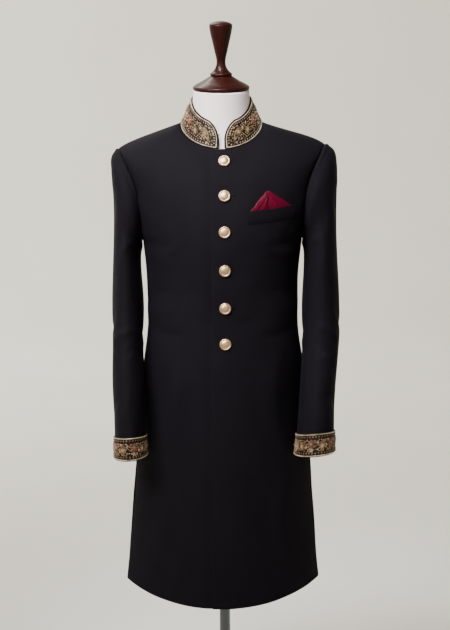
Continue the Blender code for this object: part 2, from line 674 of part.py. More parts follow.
def collar_band():
    """The stand collar, one band from front end to front end round the nape, with its two
    front corners rounded."""
    front = neck_columns("front")[1][1:]
    back = np.pi - neck_columns("back")[1][::-1]
    half = np.concatenate([front, back[1:]])
    heights = np.array([0.0, 0.25, 0.45, 0.65, 0.85, 1.0])
    corner_turn = math.asin((COLLAR_END_X + COLLAR_ROUNDING) / COLLAR_TOP_HALF_WIDTH)
    over = np.clip((heights - COLLAR_CORNER_START) / (1 - COLLAR_CORNER_START), 0, 1)
    ends = half[0] + (corner_turn - half[0]) * (1 - np.sqrt(1 - 0.97 * over ** 2))
    turns = half[None, :] + (ends - half[0])[:, None] * (1 - (half - half[0]) / (np.pi - half[0]))[None, :] ** 6
    turns = np.concatenate([turns, 2 * np.pi - turns[:, -2::-1]], 1)
    levels = np.broadcast_to(heights[:, None], turns.shape)
    outer = collar(turns, levels)
    normal = collar_normal(turns, levels)
    seam_turns = half[half <= np.pi / 2 + 1e-9]
    on_front = top_directions("front", collar_u(seam_turns))
    on_back = top_directions("back", collar_u(half[len(seam_turns):]))
    seam_half = np.concatenate([on_front, on_back])
    normal[0] = np.concatenate([seam_half, seam_half[-2::-1] * np.array([-1.0, 1.0, 1.0])])
    thickness = np.where(np.arange(len(heights)) == 0, CLOTH, COLLAR_CLOTH)
    inner = outer - normal * thickness[:, None, None]
    draw_back(outer, inner, "first row")
    return new_object("collar", wall("collar", settle(outer), settle(inner)), ZARI_BAND, 0.6)


def collar_u(turn):
    """u of the body's column that meets the collar at this turn."""
    quarter = np.arcsin(np.clip(np.sin(turn), -1, 1)) / (np.pi / 2)
    turning = math.radians(TOP_ARC)
    return np.arcsin(quarter * arc_share(NECK_SHARE, TOP_ARC)[0] * math.sin(turning)) / turning


def on_front(x, z, height):
    """Points on the wearer's left front at x and z, moved out from its face, then settled."""
    u, v = panel_place(x, z)
    point = body("front", u, v) + body_normal("front", u, v) * np.asarray(height)[..., None]
    return settle(point, skirt=True)


def welt():
    """The chest pocket's welt: its foot lies on the front and its top edge stands open."""
    rise = math.radians(WELT_RISE_DEG)
    along = np.linspace(0, WELT_LENGTH, 8)[None, :]
    up = np.linspace(0, WELT_HEIGHT, 4)[:, None]
    x = WELT_LOW_INNER[0] + along * math.cos(rise) + 0 * up
    z = WELT_LOW_INNER[1] + along * math.sin(rise) + up
    foot = SEAM_GAP + WELT_MOUTH * (up / WELT_HEIGHT) + 0 * along
    outer = on_front(x, z, foot + WELT_CLOTH)
    inner = on_front(x, z, foot)
    return new_object("pocket_welt", wall("pocket_welt", outer, inner), BLACK_WOOL, 0.75)


def pocket_square():
    """The folded pocket square: a blunt triangle that rises out of the pocket's mouth."""
    rise = math.tan(math.radians(WELT_RISE_DEG))
    across = np.linspace(0, 1, 9)[None, :]
    up = np.array([-1.0, 0.0, 0.18, 0.40, 0.64, 0.85, 1.0])[:, None]
    base_x = SQUARE_BASE[0] + (SQUARE_BASE[1] - SQUARE_BASE[0]) * across
    mouth_z = WELT_LOW_INNER[1] + WELT_HEIGHT + (base_x - WELT_LOW_INNER[0]) * rise
    tip_x = SQUARE_TIP[0][0] + (SQUARE_TIP[1][0] - SQUARE_TIP[0][0]) * across
    tip_z = SQUARE_TIP[0][1] + (SQUARE_TIP[1][1] - SQUARE_TIP[0][1]) * across
    climb = np.clip(up, 0, 1)
    x = base_x + (tip_x - base_x) * climb
    z = mouth_z + (tip_z - mouth_z) * climb + SQUARE_TUCK * np.clip(up, -1, 0)
    puff = SQUARE_PUFF * np.sin(np.pi * across) ** 0.7 * np.sin(np.pi * np.clip(climb, 0, 0.93)) ** 0.6
    inner = on_front(x, z, SEAM_GAP + 0 * x)
    outer = on_front(x, z, SEAM_GAP + SQUARE_CLOTH + puff)
    return new_object("pocket_square", wall("pocket_square", outer, inner), WINE_SILK, 0.4)


def turned(name, profile, colour, roughness, metallic, segments):
    """A turned piece: a profile of (radius, height), top to bottom, carried round Z."""
    mesh = bpy.data.meshes.new(name)
    points = [(radius, 0.0, height) for radius, height in profile]
    mesh.from_pydata(points, [(k, k + 1) for k in range(len(points) - 1)], [])
    obj = new_object(name, mesh, colour, roughness, metallic)
    screw = obj.modifiers.new("turn", "SCREW")
    screw.axis = "Z"
    screw.steps = segments
    screw.render_steps = segments
    screw.use_merge_vertices = True
    screw.merge_threshold = 1e-5
    screw.use_smooth_shade = True
    return obj


def buttons():
    """Domed metal buttons down the centre front, each flat on the cloth below it."""
    dome = [
        (0.0, 0.0056), (0.0045, 0.0052), (0.0082, 0.0041), (0.0104, 0.0031),
        (BUTTON_RADIUS, 0.0022), (BUTTON_RADIUS, 0.0010), (0.0112, 0.0), (0.0, 0.0),
    ]
    for count, height in enumerate(BUTTON_HEIGHTS, 1):
        button = turned(f"button_{count}", dome, ROSE_GOLD, 0.3, 1.0, 16)
        u, v = panel_place(BUTTON_X, height)
        normal = body_normal("front", u, v)
        centre = body("front", u, v)
        turns = np.linspace(0, 2 * np.pi, 25)
        rim = body("front", *panel_place(BUTTON_X + 0.0118 * np.cos(turns), height + 0.0118 * np.sin(turns)))
        lift = max(0.0, ((rim - centre) @ normal).max()) + SEAM_GAP
        normal = Vector(normal)
        button.location = Vector(centre) + normal * lift
        button.rotation_euler = normal.to_track_quat("Z", "Y").to_euler()


def form_rows(side):
    """The form's face behind one side of the coat, above the high hip, by rows and columns."""
    rows = np.concatenate([[0.500, 0.560, 0.620, 0.695], HIGH_ROWS])
    inner = neck_columns(side)[0]
    u = np.concatenate([inner, np.linspace(NECK_SHARE, 1.0, SHOULDER_STEPS + 1)[1:]])
    u, v = np.broadcast_arrays(u[None, :], rows[:, None])
    normal = body_normal(side, np.minimum(u, 1 - SMALL), v)
    other = "back" if side == "front" else "front"
    beside = body_normal(other, 1 - SMALL + 0 * rows, rows)
    low = (rows <= UNDERARM_ALONG + SMALL)[:, None]
    normal[:, -1] = np.where(low, unit(normal[:, -1] + beside), normal[:, -1])
    normal[-1] = top_directions(side, np.minimum(u[-1], 1 - SMALL))
    near_top = np.clip((v - HIGH_ROWS[-4]) / (TOP_ALONG - HIGH_ROWS[-4]), 0, 1) ** 2
    top_ease = np.where(u >= NECK_SHARE - 1e-9, FORM_SHOULDER_EASE, FORM_NECKLINE_EASE)
    ease = FORM_EASE + (top_ease - FORM_EASE) * near_top
    points = body(side, u, v) - normal * ease[..., None]
    points[-1, -1] = body(side, 1.0, TOP_ALONG) + np.array([-0.004, 0.0, -0.0042])
    return points


def form_torso():
    """The smooth padded torso and neck. Its shoulders carry the coat's shoulder seams, and flat
    plates close its armholes."""
    front, back = form_rows("front"), form_rows("back")
    rows = len(front)
    armhole_rows = ARMHOLE_STEPS + 1
    plate = (front[:, -1] + back[:, -1]) / 2
    arm_share = np.zeros(rows)
    arm_share[-armhole_rows:] = np.sin(np.linspace(0, np.pi, armhole_rows))
    plate[:, 0] += FORM_ARM_PLATE * arm_share
    half = np.concatenate([front, plate[:, None, :], back[:, ::-1]], 1)
    low_scales = ((0.820, 0.955), (0.835, 0.985), (0.900, 1.000), (0.955, 1.000))
    lower = []
    for height, scale in low_scales:
        ring = half[0] * np.array([scale, scale, 0.0]) + np.array([0.0, 0.0, height])
        lower.append(ring)
    half = np.concatenate([np.array(lower), half], 0)
    other = half[:, -2:0:-1] * np.array([-1.0, 1.0, 1.0])
    loops = np.concatenate([half, other], 1)
    count = loops.shape[1]
    points = loops.reshape(-1, 3).tolist()
    faces = []
    for row in range(len(loops) - 1):
        for k in range(count):
            a, b = row * count + k, row * count + (k + 1) % count
            faces.append([a, b, b + count, a + count])
    faces.append(list(range(count))[::-1])
    front_turns = neck_columns("front")[1]
    back_turns = np.pi - neck_columns("back")[1][::-1]
    half_turns = np.concatenate([front_turns, back_turns[1:]])
    turns = np.concatenate([half_turns, 2 * np.pi - half_turns[-2:0:-1]])
    neck = neck_loop(loops[-1], turns)
    start = len(points)
    for ring in neck:
        points.extend(ring.tolist())
    size = len(turns)
    for row in range(len(neck) - 1):
        for k in range(size):
            a, b = start + row * size + k, start + row * size + (k + 1) % size
            faces.append([a, b, b + size, a + size])
    faces.append([start + (len(neck) - 1) * size + k for k in range(size)])
    mesh = bpy.data.meshes.new("form_torso")
    mesh.from_pydata(settle(points, skirt=True).tolist(), [], faces)
    work = bmesh.new()
    work.from_mesh(mesh)
    bmesh.ops.remove_doubles(work, verts=work.verts, dist=2e-5)
    bmesh.ops.dissolve_degenerate(work, edges=work.edges, dist=1e-6)
    bmesh.ops.recalc_face_normals(work, faces=work.faces)
    work.to_mesh(mesh)
    work.free()
    mesh.shade_smooth()
    mesh.set_sharp_from_angle(angle=math.radians(50))
    return new_object("form_torso", mesh, WHITE_JERSEY, 0.85)


def neck_loop(top_loop, turns):
    """The neck's rings, from the torso's neckline up to the plane below the cap."""
    front_count = NECK_STEPS["front"] + 1
    back_count = NECK_STEPS["back"] + 1
    half_count = len(top_loop) // 2 + 1
    half = top_loop[:half_count]
    neckline = np.concatenate([half[:front_count], half[-back_count:][1:]])
    neckline = np.concatenate([neckline, neckline[-2:0:-1] * np.array([-1.0, 1.0, 1.0])])
    rings = [neckline]
    for half_x, front_y, back_y, front_z, side_z, back_z in NECK_RINGS:
        on_front_half = np.cos(turns) > 0
        level = np.abs(np.cos(turns))
        y = np.where(on_front_half, front_y, back_y) * level
        z = side_z + (np.where(on_front_half, front_z, back_z) - side_z) * level
        rings.append(np.stack([half_x * np.sin(turns), y, z], -1))
    tilt = math.radians(CAP_TILT_DEG)
    radial = np.stack([np.sin(turns), -np.cos(turns) * math.cos(tilt), -np.cos(turns) * math.sin(tilt)], -1)
    rings.append(np.array(CAP_CENTRE) + radial * NECK_RADIUS)
    return rings


def neck_cap():
    """The turned wooden cap, with the finial standing on it. Both lean forward with the neck."""
    cap = turned(
        "neck_cap",
        [
            (0.0, CAP_HEIGHT), (0.0238, 0.0301), (0.0262, 0.0283), (0.0300, 0.0258),
            (0.0400, 0.0198), (0.0520, 0.0135), (0.0590, 0.0090), (CAP_RADIUS, 0.0054),
            (0.0604, 0.0018), (0.0584, 0.0), (0.0, 0.0),
        ],
        STAINED_WOOD, 0.35, 0.0, 28,
    )
    finial = turned(
        "finial",
        [
            (0.0, 0.1148), (0.0110, 0.1139), (0.0195, 0.1114), (0.0244, 0.1078), (0.0248, 0.1054),
            (0.0226, 0.0890), (0.0182, 0.0700), (0.0136, 0.0500), (0.0102, 0.0350),
            (0.0098, 0.0260), (0.0118, 0.0180), (0.0172, 0.0098), (0.0226, 0.0052),
            (0.0238, 0.0030), (0.0232, 0.0008), (0.0220, 0.0), (0.0, 0.0),
        ],
        STAINED_WOOD, 0.35, 0.0, 22,
    )
    tilt = math.radians(CAP_TILT_DEG)
    axis = Vector((0.0, -math.sin(tilt), math.cos(tilt)))
    foot = Vector(CAP_CENTRE) + axis * SEAM_GAP
    for piece, height in ((cap, 0.0), (finial, CAP_HEIGHT + SEAM_GAP)):
        piece.location = foot + axis * height
        piece.rotation_euler = (tilt, 0.0, 0.0)


def stand():
    """The steel pole and the round weighted base, plain because the photo doesn't show them."""
    bpy.ops.mesh.primitive_cylinder_add(
        vertices=24,
        radius=POLE_RADIUS,
        depth=FORM_BOTTOM_Z - BASE_THICKNESS - 2 * SEAM_GAP,
        location=(0, 0, (FORM_BOTTOM_Z + BASE_THICKNESS) / 2),
    )
    pole = bpy.context.active_object
    mesh = pole.data
    location = pole.location.copy()
    bpy.data.objects.remove(pole)
    mesh.name = "pole"
    pole = new_object("pole", mesh, STEEL, 0.25, 1.0)
    pole.location = location
    turned(
        "base",
        [
            (0.0, BASE_THICKNESS), (0.030, BASE_THICKNESS), (0.036, 0.0190), (0.100, 0.0150),
            (0.165, 0.0105), (BASE_RADIUS, 0.0075), (BASE_RADIUS, 0.0015), (0.1785, 0.0), (0.0, 0.0),
        ],
        STEEL, 0.25, 1.0, 40,
    )


# Material name and linear colour
BLACK_WOOL = ("black_wool_suiting", 0.010, 0.010, 0.012)
ZARI_BAND = ("zari_embroidered_band", 0.30, 0.21, 0.11)
WINE_SILK = ("wine_silk", 0.16, 0.004, 0.016)
ROSE_GOLD = ("rose_gold_plate", 0.80, 0.58, 0.40)
WHITE_JERSEY = ("white_form_jersey", 0.80, 0.77, 0.77)
STAINED_WOOD = ("stained_beech", 0.060, 0.013, 0.008)
STEEL = ("polished_steel", 0.55, 0.56, 0.57)


def main():
    for obj in list(bpy.data.objects):
        bpy.data.objects.remove(obj)
    bpy.context.scene.collection.children.link(bpy.data.collections.new(COLLECTION))
    front_panel("front_left", mirrored=False)
    front_panel("front_right", mirrored=True)
    back_panel("back_left", mirrored=False)
    back_panel("back_right", mirrored=True)
    seam = -ARMHOLE_STEPS // 2 + UNDER_SLEEVE_STEPS
    for hand in ("left", "right"):
        sleeve_panel(f"top_sleeve_{hand}", seam, seam + 12, hand)
        sleeve_panel(f"under_sleeve_{hand}", seam - 4, seam, hand)
        cuff_band(f"cuff_{hand}", hand)
    collar_band()
    welt()
    pocket_square()
    buttons()
    form_torso()
    neck_cap()
    stand()


main()
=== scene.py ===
"""Looks of a black band-collar sherwani on its dress form: cloth, embroidery, buttons and wood.

Metres, +Z up, the wearer faces -Y and the wearer's left is +X. The coat's shapes are the same
functions of two parameters that the solids are made from, so that each shell lies on its solid.
"""

import math

import bmesh
import bpy
import numpy as np
from mathutils import Matrix, Vector


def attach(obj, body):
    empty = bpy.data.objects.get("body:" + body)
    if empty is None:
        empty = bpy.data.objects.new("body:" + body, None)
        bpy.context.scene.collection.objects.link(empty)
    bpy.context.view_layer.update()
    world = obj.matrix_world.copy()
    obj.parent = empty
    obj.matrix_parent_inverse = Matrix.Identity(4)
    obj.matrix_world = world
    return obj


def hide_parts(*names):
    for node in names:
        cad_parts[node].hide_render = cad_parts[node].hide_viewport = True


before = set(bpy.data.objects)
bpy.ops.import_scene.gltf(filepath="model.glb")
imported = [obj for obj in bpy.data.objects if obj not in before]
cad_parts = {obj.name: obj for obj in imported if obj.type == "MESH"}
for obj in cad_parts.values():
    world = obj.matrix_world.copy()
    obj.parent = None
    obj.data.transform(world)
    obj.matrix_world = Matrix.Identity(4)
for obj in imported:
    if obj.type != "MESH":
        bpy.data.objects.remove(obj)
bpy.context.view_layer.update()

# ---------------------------------------------------------------- sizes shared with the solids
SEAM_GAP = 0.0003
OVERLAP_DROP = 0.0024
NECK_HALF_WIDTH = 0.0874
NECK_SIDE_Z = 1.5165
NECK_FRONT = (-0.082, 1.461)
NECK_BACK = (0.070, 1.530)
SHOULDER_TIP_X = 0.2236
SHOULDER_SLOPE = 0.3515
SHOULDER_ROUNDING = 0.0068
NECK_SHARE = 0.40
ARMHOLE_FRONT_DEPTH = 0.062
ARMHOLE_BACK_DEPTH = 0.068
BUTTON_STAND = 0.022
UNDERLAP_EASE = (0.042, 0.0225)
STAND_TOP_DROP = 0.0015
BUTTON_RADIUS = 0.0123
BUTTON_X = 0.0052
BUTTON_HEIGHTS = (1.4355, 1.3635, 1.2885, 1.2075, 1.1270, 1.0505)
WELT_LOW_INNER = (0.0545, 1.3035)
WELT_LENGTH = 0.099
WELT_HEIGHT = 0.026
WELT_RISE_DEG = 5.5
POCKET_SPAN = (0.050, 0.158)
COLLAR_END_X = 0.0080
COLLAR_TOP_HALF_WIDTH = 0.0642
COLLAR_TOP_SIDE_Z = 1.5665
COLLAR_TOP_FRONT = (-0.0745, 1.515)
COLLAR_TOP_BACK = (0.0650, 1.587)
COLLAR_ROUNDING = 0.024
COLLAR_CORNER_START = 0.30
CUFF_HEIGHT = 0.044
CAP_CENTRE = (0.0, -0.004, 1.5845)
CAP_TILT_DEG = 7.5
CAP_RADIUS = 0.0610
CAP_HEIGHT = 0.0305
NECK_RADIUS = 0.0604
POLE_RADIUS = 0.012
FORM_BOTTOM_Z = 0.820
BASE_RADIUS = 0.180
BASE_THICKNESS = 0.022
SMALL = 1e-4

# along, centre z, centre y, side x, side z, arc, push and lift below the neck point
FRONT_SECTIONS = (
    (0.000, 0.470, -0.1340, 0.2177, 0.500, 62.0, 0.000, 0.000),
    (0.131, 0.615, -0.1335, 0.2032, 0.631, 66.0, 0.000, 0.000),
    (0.269, 0.764, -0.1330, 0.1922, 0.769, 72.0, 0.000, 0.000),
    (0.400, 0.899, -0.1320, 0.1820, 0.900, 80.0, 0.000, 0.000),
    (0.500, 1.000, -0.1300, 0.1747, 1.000, 87.0, 0.000, 0.000),
    (0.550, 1.050, -0.1285, 0.1672, 1.050, 90.0, 0.000, 0.000),
    (0.620, 1.120, -0.1280, 0.1645, 1.120, 90.0, 0.000, 0.000),
    (0.695, 1.193, -0.1325, 0.1666, 1.195, 90.0, 0.000, 0.000),
    (0.762, 1.252, -0.1360, 0.1732, 1.262, 90.0, 0.000, 0.000),
    (0.814, 1.294, -0.1340, 0.1733, 1.281, 84.0, 0.000, 0.002),
    (0.866, 1.339, -0.1275, 0.1752, 1.331, 78.0, 0.002, 0.009),
    (0.918, 1.385, -0.1155, 0.1880, 1.393, 76.0, 0.009, 0.024),
    (0.970, 1.426, -0.0995, 0.2115, 1.443, 75.0, 0.030, 0.046),
)
BACK_SECTIONS = (
    (0.000, 0.496, 0.1420, 0.2177, 0.500, 62.0, 0.000, 0.000),
    (0.131, 0.629, 0.1390, 0.2032, 0.631, 66.0, 0.000, 0.000),
    (0.269, 0.768, 0.1360, 0.1922, 0.769, 72.0, 0.000, 0.000),
    (0.400, 0.900, 0.1310, 0.1820, 0.900, 80.0, 0.000, 0.000),
    (0.500, 1.000, 0.1200, 0.1747, 1.000, 87.0, 0.000, 0.000),
    (0.550, 1.050, 0.1130, 0.1672, 1.050, 90.0, 0.000, 0.000),
    (0.620, 1.120, 0.1080, 0.1645, 1.120, 90.0, 0.000, 0.000),
    (0.695, 1.196, 0.1140, 0.1666, 1.195, 90.0, 0.000, 0.000),
    (0.762, 1.266, 0.1230, 0.1732, 1.262, 90.0, 0.000, 0.000),
    (0.814, 1.318, 0.1270, 0.1733, 1.281, 84.0, 0.000, 0.000),
    (0.866, 1.371, 0.1265, 0.1752, 1.331, 78.0, 0.000, 0.002),
    (0.918, 1.424, 0.1185, 0.1880, 1.393, 76.0, -0.003, 0.008),
    (0.970, 1.478, 0.1000, 0.2115, 1.443, 75.0, -0.014, 0.014),
)
TOP_ALONG = 1.022
TOP_ARC = 75.0
UNDERARM_ALONG = 0.762

# along, centre x, y, z, half width, half depth, rise of the outer side, rise of the front
SLEEVE_SECTIONS = (
    (0.100, 0.2090, 0.004, 1.3180, 0.0350, 0.0780, 0.070, 0.000),
    (0.190, 0.2115, 0.002, 1.2350, 0.0332, 0.0800, 0.012, 0.000),
    (0.290, 0.2133, -0.007, 1.1300, 0.0348, 0.0760, 0.000, 0.000),
    (0.385, 0.2128, -0.028, 1.0400, 0.0353, 0.0710, 0.000, 0.002),
    (0.475, 0.2060, -0.059, 0.9500, 0.0361, 0.0665, 0.000, 0.006),
    (0.560, 0.2025, -0.081, 0.8670, 0.0368, 0.0615, 0.000, 0.009),
    (0.625, 0.2004, -0.094, 0.8050, 0.0385, 0.0590, 0.000, 0.0015),
)
CROWN_ALONG = 0.030
CROWN_SHARE = 0.24
CROWN_FORWARD = 0.0085
WRIST_ALONG = 0.625
ELBOW_ALONG = 0.385
# how far the sleeve's sections hang outwards, and how much wider they are, for each hand
SLEEVE_HANG_ALONG = (0.190, 0.290, 0.385, 0.475, 0.625)
SLEEVE_HANG = {
    "left": (
        (0.0025, 0.0025), (0.0008, 0.0052), (0.0008, 0.0052), (-0.0005, 0.0025), (-0.0038, 0.0028),
    ),
    "right": (
        (-0.0036, -0.0036), (-0.0062, -0.0011), (-0.0052, -0.0018), (-0.0010, -0.0010),
        (0.0009, -0.0051),
    ),
}
WRIST_RISE = {"left": 0.0025, "right": -0.0020}
CROWN_ROLL = {"left": (0.0095, 0.0080), "right": (0.0085, 0.0045)}
CROWN_STAND_OFF = 0.002
SHOULDER_LIFT = 0.0062
LIFT_FROM_X = 0.095
LIFT_REACH = 0.125
LIFT_AT_HEM = 0.4
SKIRT_SWAY = -0.0042
SWAY_FROM_Z = 0.97
SWAY_REACH = 0.50
SLIT_TOP_ALONG = 0.375
SLIT_GAP = 0.0070


# ---------------------------------------------------------------- the coat's surfaces
def spline_weights(knots, places, clamped_end):
    """Weights that turn values at the knots into values at the places, for a cubic spline with
    free ends, or with a given slope at the last knot: then the last column is its weight."""
    count = len(knots)
    gaps = np.diff(knots)
    left = np.zeros((count, count))
    right = np.zeros((count, count + 1))
    left[0, 0] = 1.0
    for k in range(1, count - 1):
        left[k, k - 1:k + 2] = gaps[k - 1] / 6, (gaps[k - 1] + gaps[k]) / 3, gaps[k] / 6
        right[k, k - 1:k + 2] = 1 / gaps[k - 1], -1 / gaps[k - 1] - 1 / gaps[k], 1 / gaps[k]
    if clamped_end:
        left[-1, -2:] = gaps[-1] / 6, gaps[-1] / 3
        right[-1, -3:] = 1 / gaps[-1], -1 / gaps[-1], 1.0
    else:
        left[-1, -1] = 1.0
    bend = np.linalg.solve(left, right)
    places = np.clip(np.asarray(places, float), knots[0], knots[-1])
    span = np.clip(np.searchsorted(knots, places, side="right") - 1, 0, count - 2)
    before = (np.asarray(knots)[span + 1] - places)[..., None]
    after = (places - np.asarray(knots)[span])[..., None]
    gap = gaps[span][..., None]
    whole = np.eye(count, count + 1)
    return (
        (before ** 3 * bend[span] + after ** 3 * bend[span + 1]) / (6 * gap)
        + (whole[span] / gap - gap * bend[span] / 6) * before
        + (whole[span + 1] / gap - gap * bend[span + 1] / 6) * after
    )


def unit(vectors):
    return vectors / np.maximum(np.linalg.norm(vectors, axis=-1, keepdims=True), 1e-12)


def smooth(share):
    """0 below 0, 1 above 1, and 3s^2 - 2s^3 between."""
    share = np.clip(share, 0, 1)
    return share * share * (3 - 2 * share)


def arc_share(u, arc):
    """(sin ua / sin a, (1 - cos ua) / (1 - cos a)): both 0 at u = 0 and 1 at u = 1."""
    turn = np.radians(arc)
    return np.sin(u * turn) / np.sin(turn), (1 - np.cos(u * turn)) / (1 - np.cos(turn))


def top_edge(u, neck_centre):
    """A quarter ellipse from the centre to the neck point, then the shoulder seam."""
    across = arc_share(u, TOP_ARC)[0]
    corner = arc_share(NECK_SHARE, TOP_ARC)[0]
    turn = np.pi / 2 * np.clip(across / corner, -1, 1)
    along_seam = np.clip((np.abs(across) - corner) / (1 - corner), 0, 1)
    seam_length = SHOULDER_TIP_X - NECK_HALF_WIDTH
    x = NECK_HALF_WIDTH * np.sin(turn) + np.sign(u) * seam_length * along_seam
    y = neck_centre[0] * np.cos(turn)
    z = NECK_SIDE_Z + (neck_centre[1] - NECK_SIDE_Z) * np.cos(turn)
    z = z - SHOULDER_SLOPE * seam_length * along_seam - SHOULDER_ROUNDING * along_seam ** 8
    return np.stack([x, y, z], -1)


def below_neck(u):
    """1 under the neck point and 0 at the centre and the armhole, by squared sine and cosine."""
    across = np.abs(arc_share(u, TOP_ARC)[0])
    corner = arc_share(NECK_SHARE, TOP_ARC)[0]
    inner = np.sin(np.pi / 2 * np.clip(across / corner, 0, 1)) ** 2
    outer = np.cos(np.pi / 2 * np.clip((across - corner) / (1 - corner), 0, 1)) ** 2
    return np.where(across < corner, inner, outer)


def body(side, u, v):
    """The coat's body, outer face: at each u an elliptic arc from centre to side, joined up
    the panel by a cubic spline through the sections and the top edge, less the armhole's scoop."""
    u, v = np.broadcast_arrays(np.asarray(u, float), np.asarray(v, float))
    table = np.array(FRONT_SECTIONS if side == "front" else BACK_SECTIONS)
    knots, centre_z, centre_y, side_x, side_z, arcs, push, raise_ = table.T
    across, back = arc_share(u[..., None], arcs)
    hollow = below_neck(u)[..., None]
    rows = np.stack(
        [
            side_x * across,
            centre_y * (1 - back) + push * hollow,
            centre_z + (side_z - centre_z) * across ** 2 + raise_ * hollow,
        ],
        -1,
    )
    top = top_edge(u, NECK_FRONT if side == "front" else NECK_BACK)
    chord = (top - rows[..., -1, :]) / (TOP_ALONG - knots[-1])
    level = np.abs(arc_share(u, TOP_ARC)[0]) / arc_share(NECK_SHARE, TOP_ARC)[0]
    slope = chord * (1 + smooth(level)[..., None] * np.array([0.0, 0.30, -0.85]))
    data = np.concatenate([rows, top[..., None, :], slope[..., None, :]], -2)
    all_knots = np.append(knots, TOP_ALONG)
    point = np.einsum("...k,...kc->...c", spline_weights(all_knots, v, True), data)
    depth = -ARMHOLE_FRONT_DEPTH if side == "front" else ARMHOLE_BACK_DEPTH
    up = np.clip((v - UNDERARM_ALONG) / (TOP_ALONG - UNDERARM_ALONG), 0, 1)
    arc = np.interp(v, all_knots, np.append(arcs, TOP_ARC))
    point[..., 1] += depth * np.sin(np.pi * up) * arc_share(u, arc)[1]
    return point


def body_normal(side, u, v):
    """The cross product of the slopes along u and v, turned outwards."""
    u, v = np.broadcast_arrays(np.asarray(u, float), np.asarray(v, float))
    across = body(side, np.minimum(u + SMALL, 1), v) - body(side, np.maximum(u - SMALL, -1), v)
    high, low = np.minimum(v + SMALL, TOP_ALONG), np.maximum(v - SMALL, 0)
    normal = unit(np.cross(across, body(side, u, high) - body(side, u, low)))
    return normal if side == "front" else -normal


def panel_place(x, z):
    """(u, v) on the front where its face has this x and z, by Newton steps."""
    x, z = np.broadcast_arrays(np.asarray(x, float), np.asarray(z, float))
    u, v = x / 0.2, z - 0.5
    for _ in range(12):
        here = body("front", u, v)
        by_u = (body("front", u + SMALL, v) - here) / SMALL
        by_v = (body("front", u, v + SMALL) - here) / SMALL
        miss_x, miss_z = x - here[..., 0], z - here[..., 2]
        area = by_u[..., 0] * by_v[..., 2] - by_v[..., 0] * by_u[..., 2]
        u = u + (miss_x * by_v[..., 2] - miss_z * by_v[..., 0]) / area
        v = v + (miss_z * by_u[..., 0] - miss_x * by_u[..., 2]) / area
    return u, v


def collar_edge(turn, half_width, side_z, front, back):
    """A closed ring: an ellipse whose front half and back half differ in depth and height."""
    at_front = np.cos(turn) > 0
    level = np.abs(np.cos(turn))
    y = np.where(at_front, front[0], back[0]) * level
    z = side_z + (np.where(at_front, front[1], back[1]) - side_z) * level
    return np.stack([half_width * np.sin(turn), y, z], -1)


def collar(turn, height):
    """Straight lines from the neckline ring (height 0) to the collar's top ring (height 1)."""
    height = np.asarray(height, float)[..., None]
    low = collar_edge(turn, NECK_HALF_WIDTH, NECK_SIDE_Z, NECK_FRONT, NECK_BACK)
    top = collar_edge(
        turn, COLLAR_TOP_HALF_WIDTH, COLLAR_TOP_SIDE_Z, COLLAR_TOP_FRONT, COLLAR_TOP_BACK
    )
    return low * (1 - height) + top * height


def collar_normal(turn, height):
    turn, height = np.broadcast_arrays(np.asarray(turn, float), np.asarray(height, float))
    round_it = collar(turn + SMALL, height) - collar(turn - SMALL, height)
    return unit(np.cross(round_it, collar(turn, 1 + 0 * height) - collar(turn, 0 * height)))


def sleeve(turn, along, hand):
    """The sleeve, outer face, at +X: rings (sin, cos of turn) joined by a cubic spline along
    the sleeve. The first ring is the armhole, the second the rolled sleeve head."""
    turn, along = np.broadcast_arrays(np.asarray(turn, float), np.asarray(along, float))
    sections = np.array(SLEEVE_SECTIONS).T
    knots, centre_x, centre_y, centre_z, half_x, half_y, rise_out, rise_front = sections
    off, wide = (np.interp(knots, SLEEVE_HANG_ALONG, way) for way in zip(*SLEEVE_HANG[hand]))
    centre_x, half_x, half_y = centre_x + off, half_x + wide, half_y - 0.8 * wide
    below_elbow = np.clip((knots - ELBOW_ALONG) / (WRIST_ALONG - ELBOW_ALONG), 0, 1)
    rise_out = rise_out + WRIST_RISE[hand] * below_elbow
    crown_out, crown_up = CROWN_ROLL[hand]
    out, front = np.sin(turn)[..., None], np.cos(turn)[..., None]
    rings = np.stack(
        [
            centre_x + half_x * out,
            centre_y - half_y * front,
            centre_z + rise_out * out + rise_front * front,
        ],
        -1,
    )
    up = np.arcsin(np.clip(np.sin(turn), -1, 1)) / np.pi + 0.5
    place = UNDERARM_ALONG + (TOP_ALONG - UNDERARM_ALONG) * up
    on_front = (np.cos(turn) >= 0)[..., None]
    armhole = np.where(on_front, body("front", 1.0, place), body("back", 1.0, place))
    upper = np.clip(np.sin(turn), 0, 1)
    roll = np.stack(
        [crown_out * upper + CROWN_STAND_OFF, -CROWN_FORWARD * np.cos(turn), crown_up * upper], -1
    )
    crown = armhole + (rings[..., 0, :] - armhole) * CROWN_SHARE + roll
    data = np.concatenate([armhole[..., None, :], crown[..., None, :], rings], -2)
    weights = spline_weights(np.append([0.0, CROWN_ALONG], knots), along, False)
    return np.einsum("...k,...kc->...c", weights[..., :-1], data)


def sleeve_normal(turn, along, hand):
    turn, along = np.broadcast_arrays(np.asarray(turn, float), np.asarray(along, float))
    high, low = np.minimum(along + SMALL, WRIST_ALONG), np.maximum(along - SMALL, 0)
    round_it = sleeve(turn + SMALL, along, hand) - sleeve(turn - SMALL, along, hand)
    return unit(np.cross(sleeve(turn, high, hand) - sleeve(turn, low, hand), round_it))


def settle(points, skirt=False):
    """Lifts the left shoulder and what hangs from it, and sways the skirt to the right."""
    points = np.array(points, float)
    x, z = points[..., 0].copy(), points[..., 2].copy()
    lift = SHOULDER_LIFT * smooth((x - LIFT_FROM_X) / LIFT_REACH)
    if skirt:
        lift = lift * (LIFT_AT_HEM + (1 - LIFT_AT_HEM) * smooth((z - 0.70) / 0.40))
        points[..., 0] += SKIRT_SWAY * smooth((SWAY_FROM_Z - z) / SWAY_REACH)
    points[..., 2] += lift
    return points


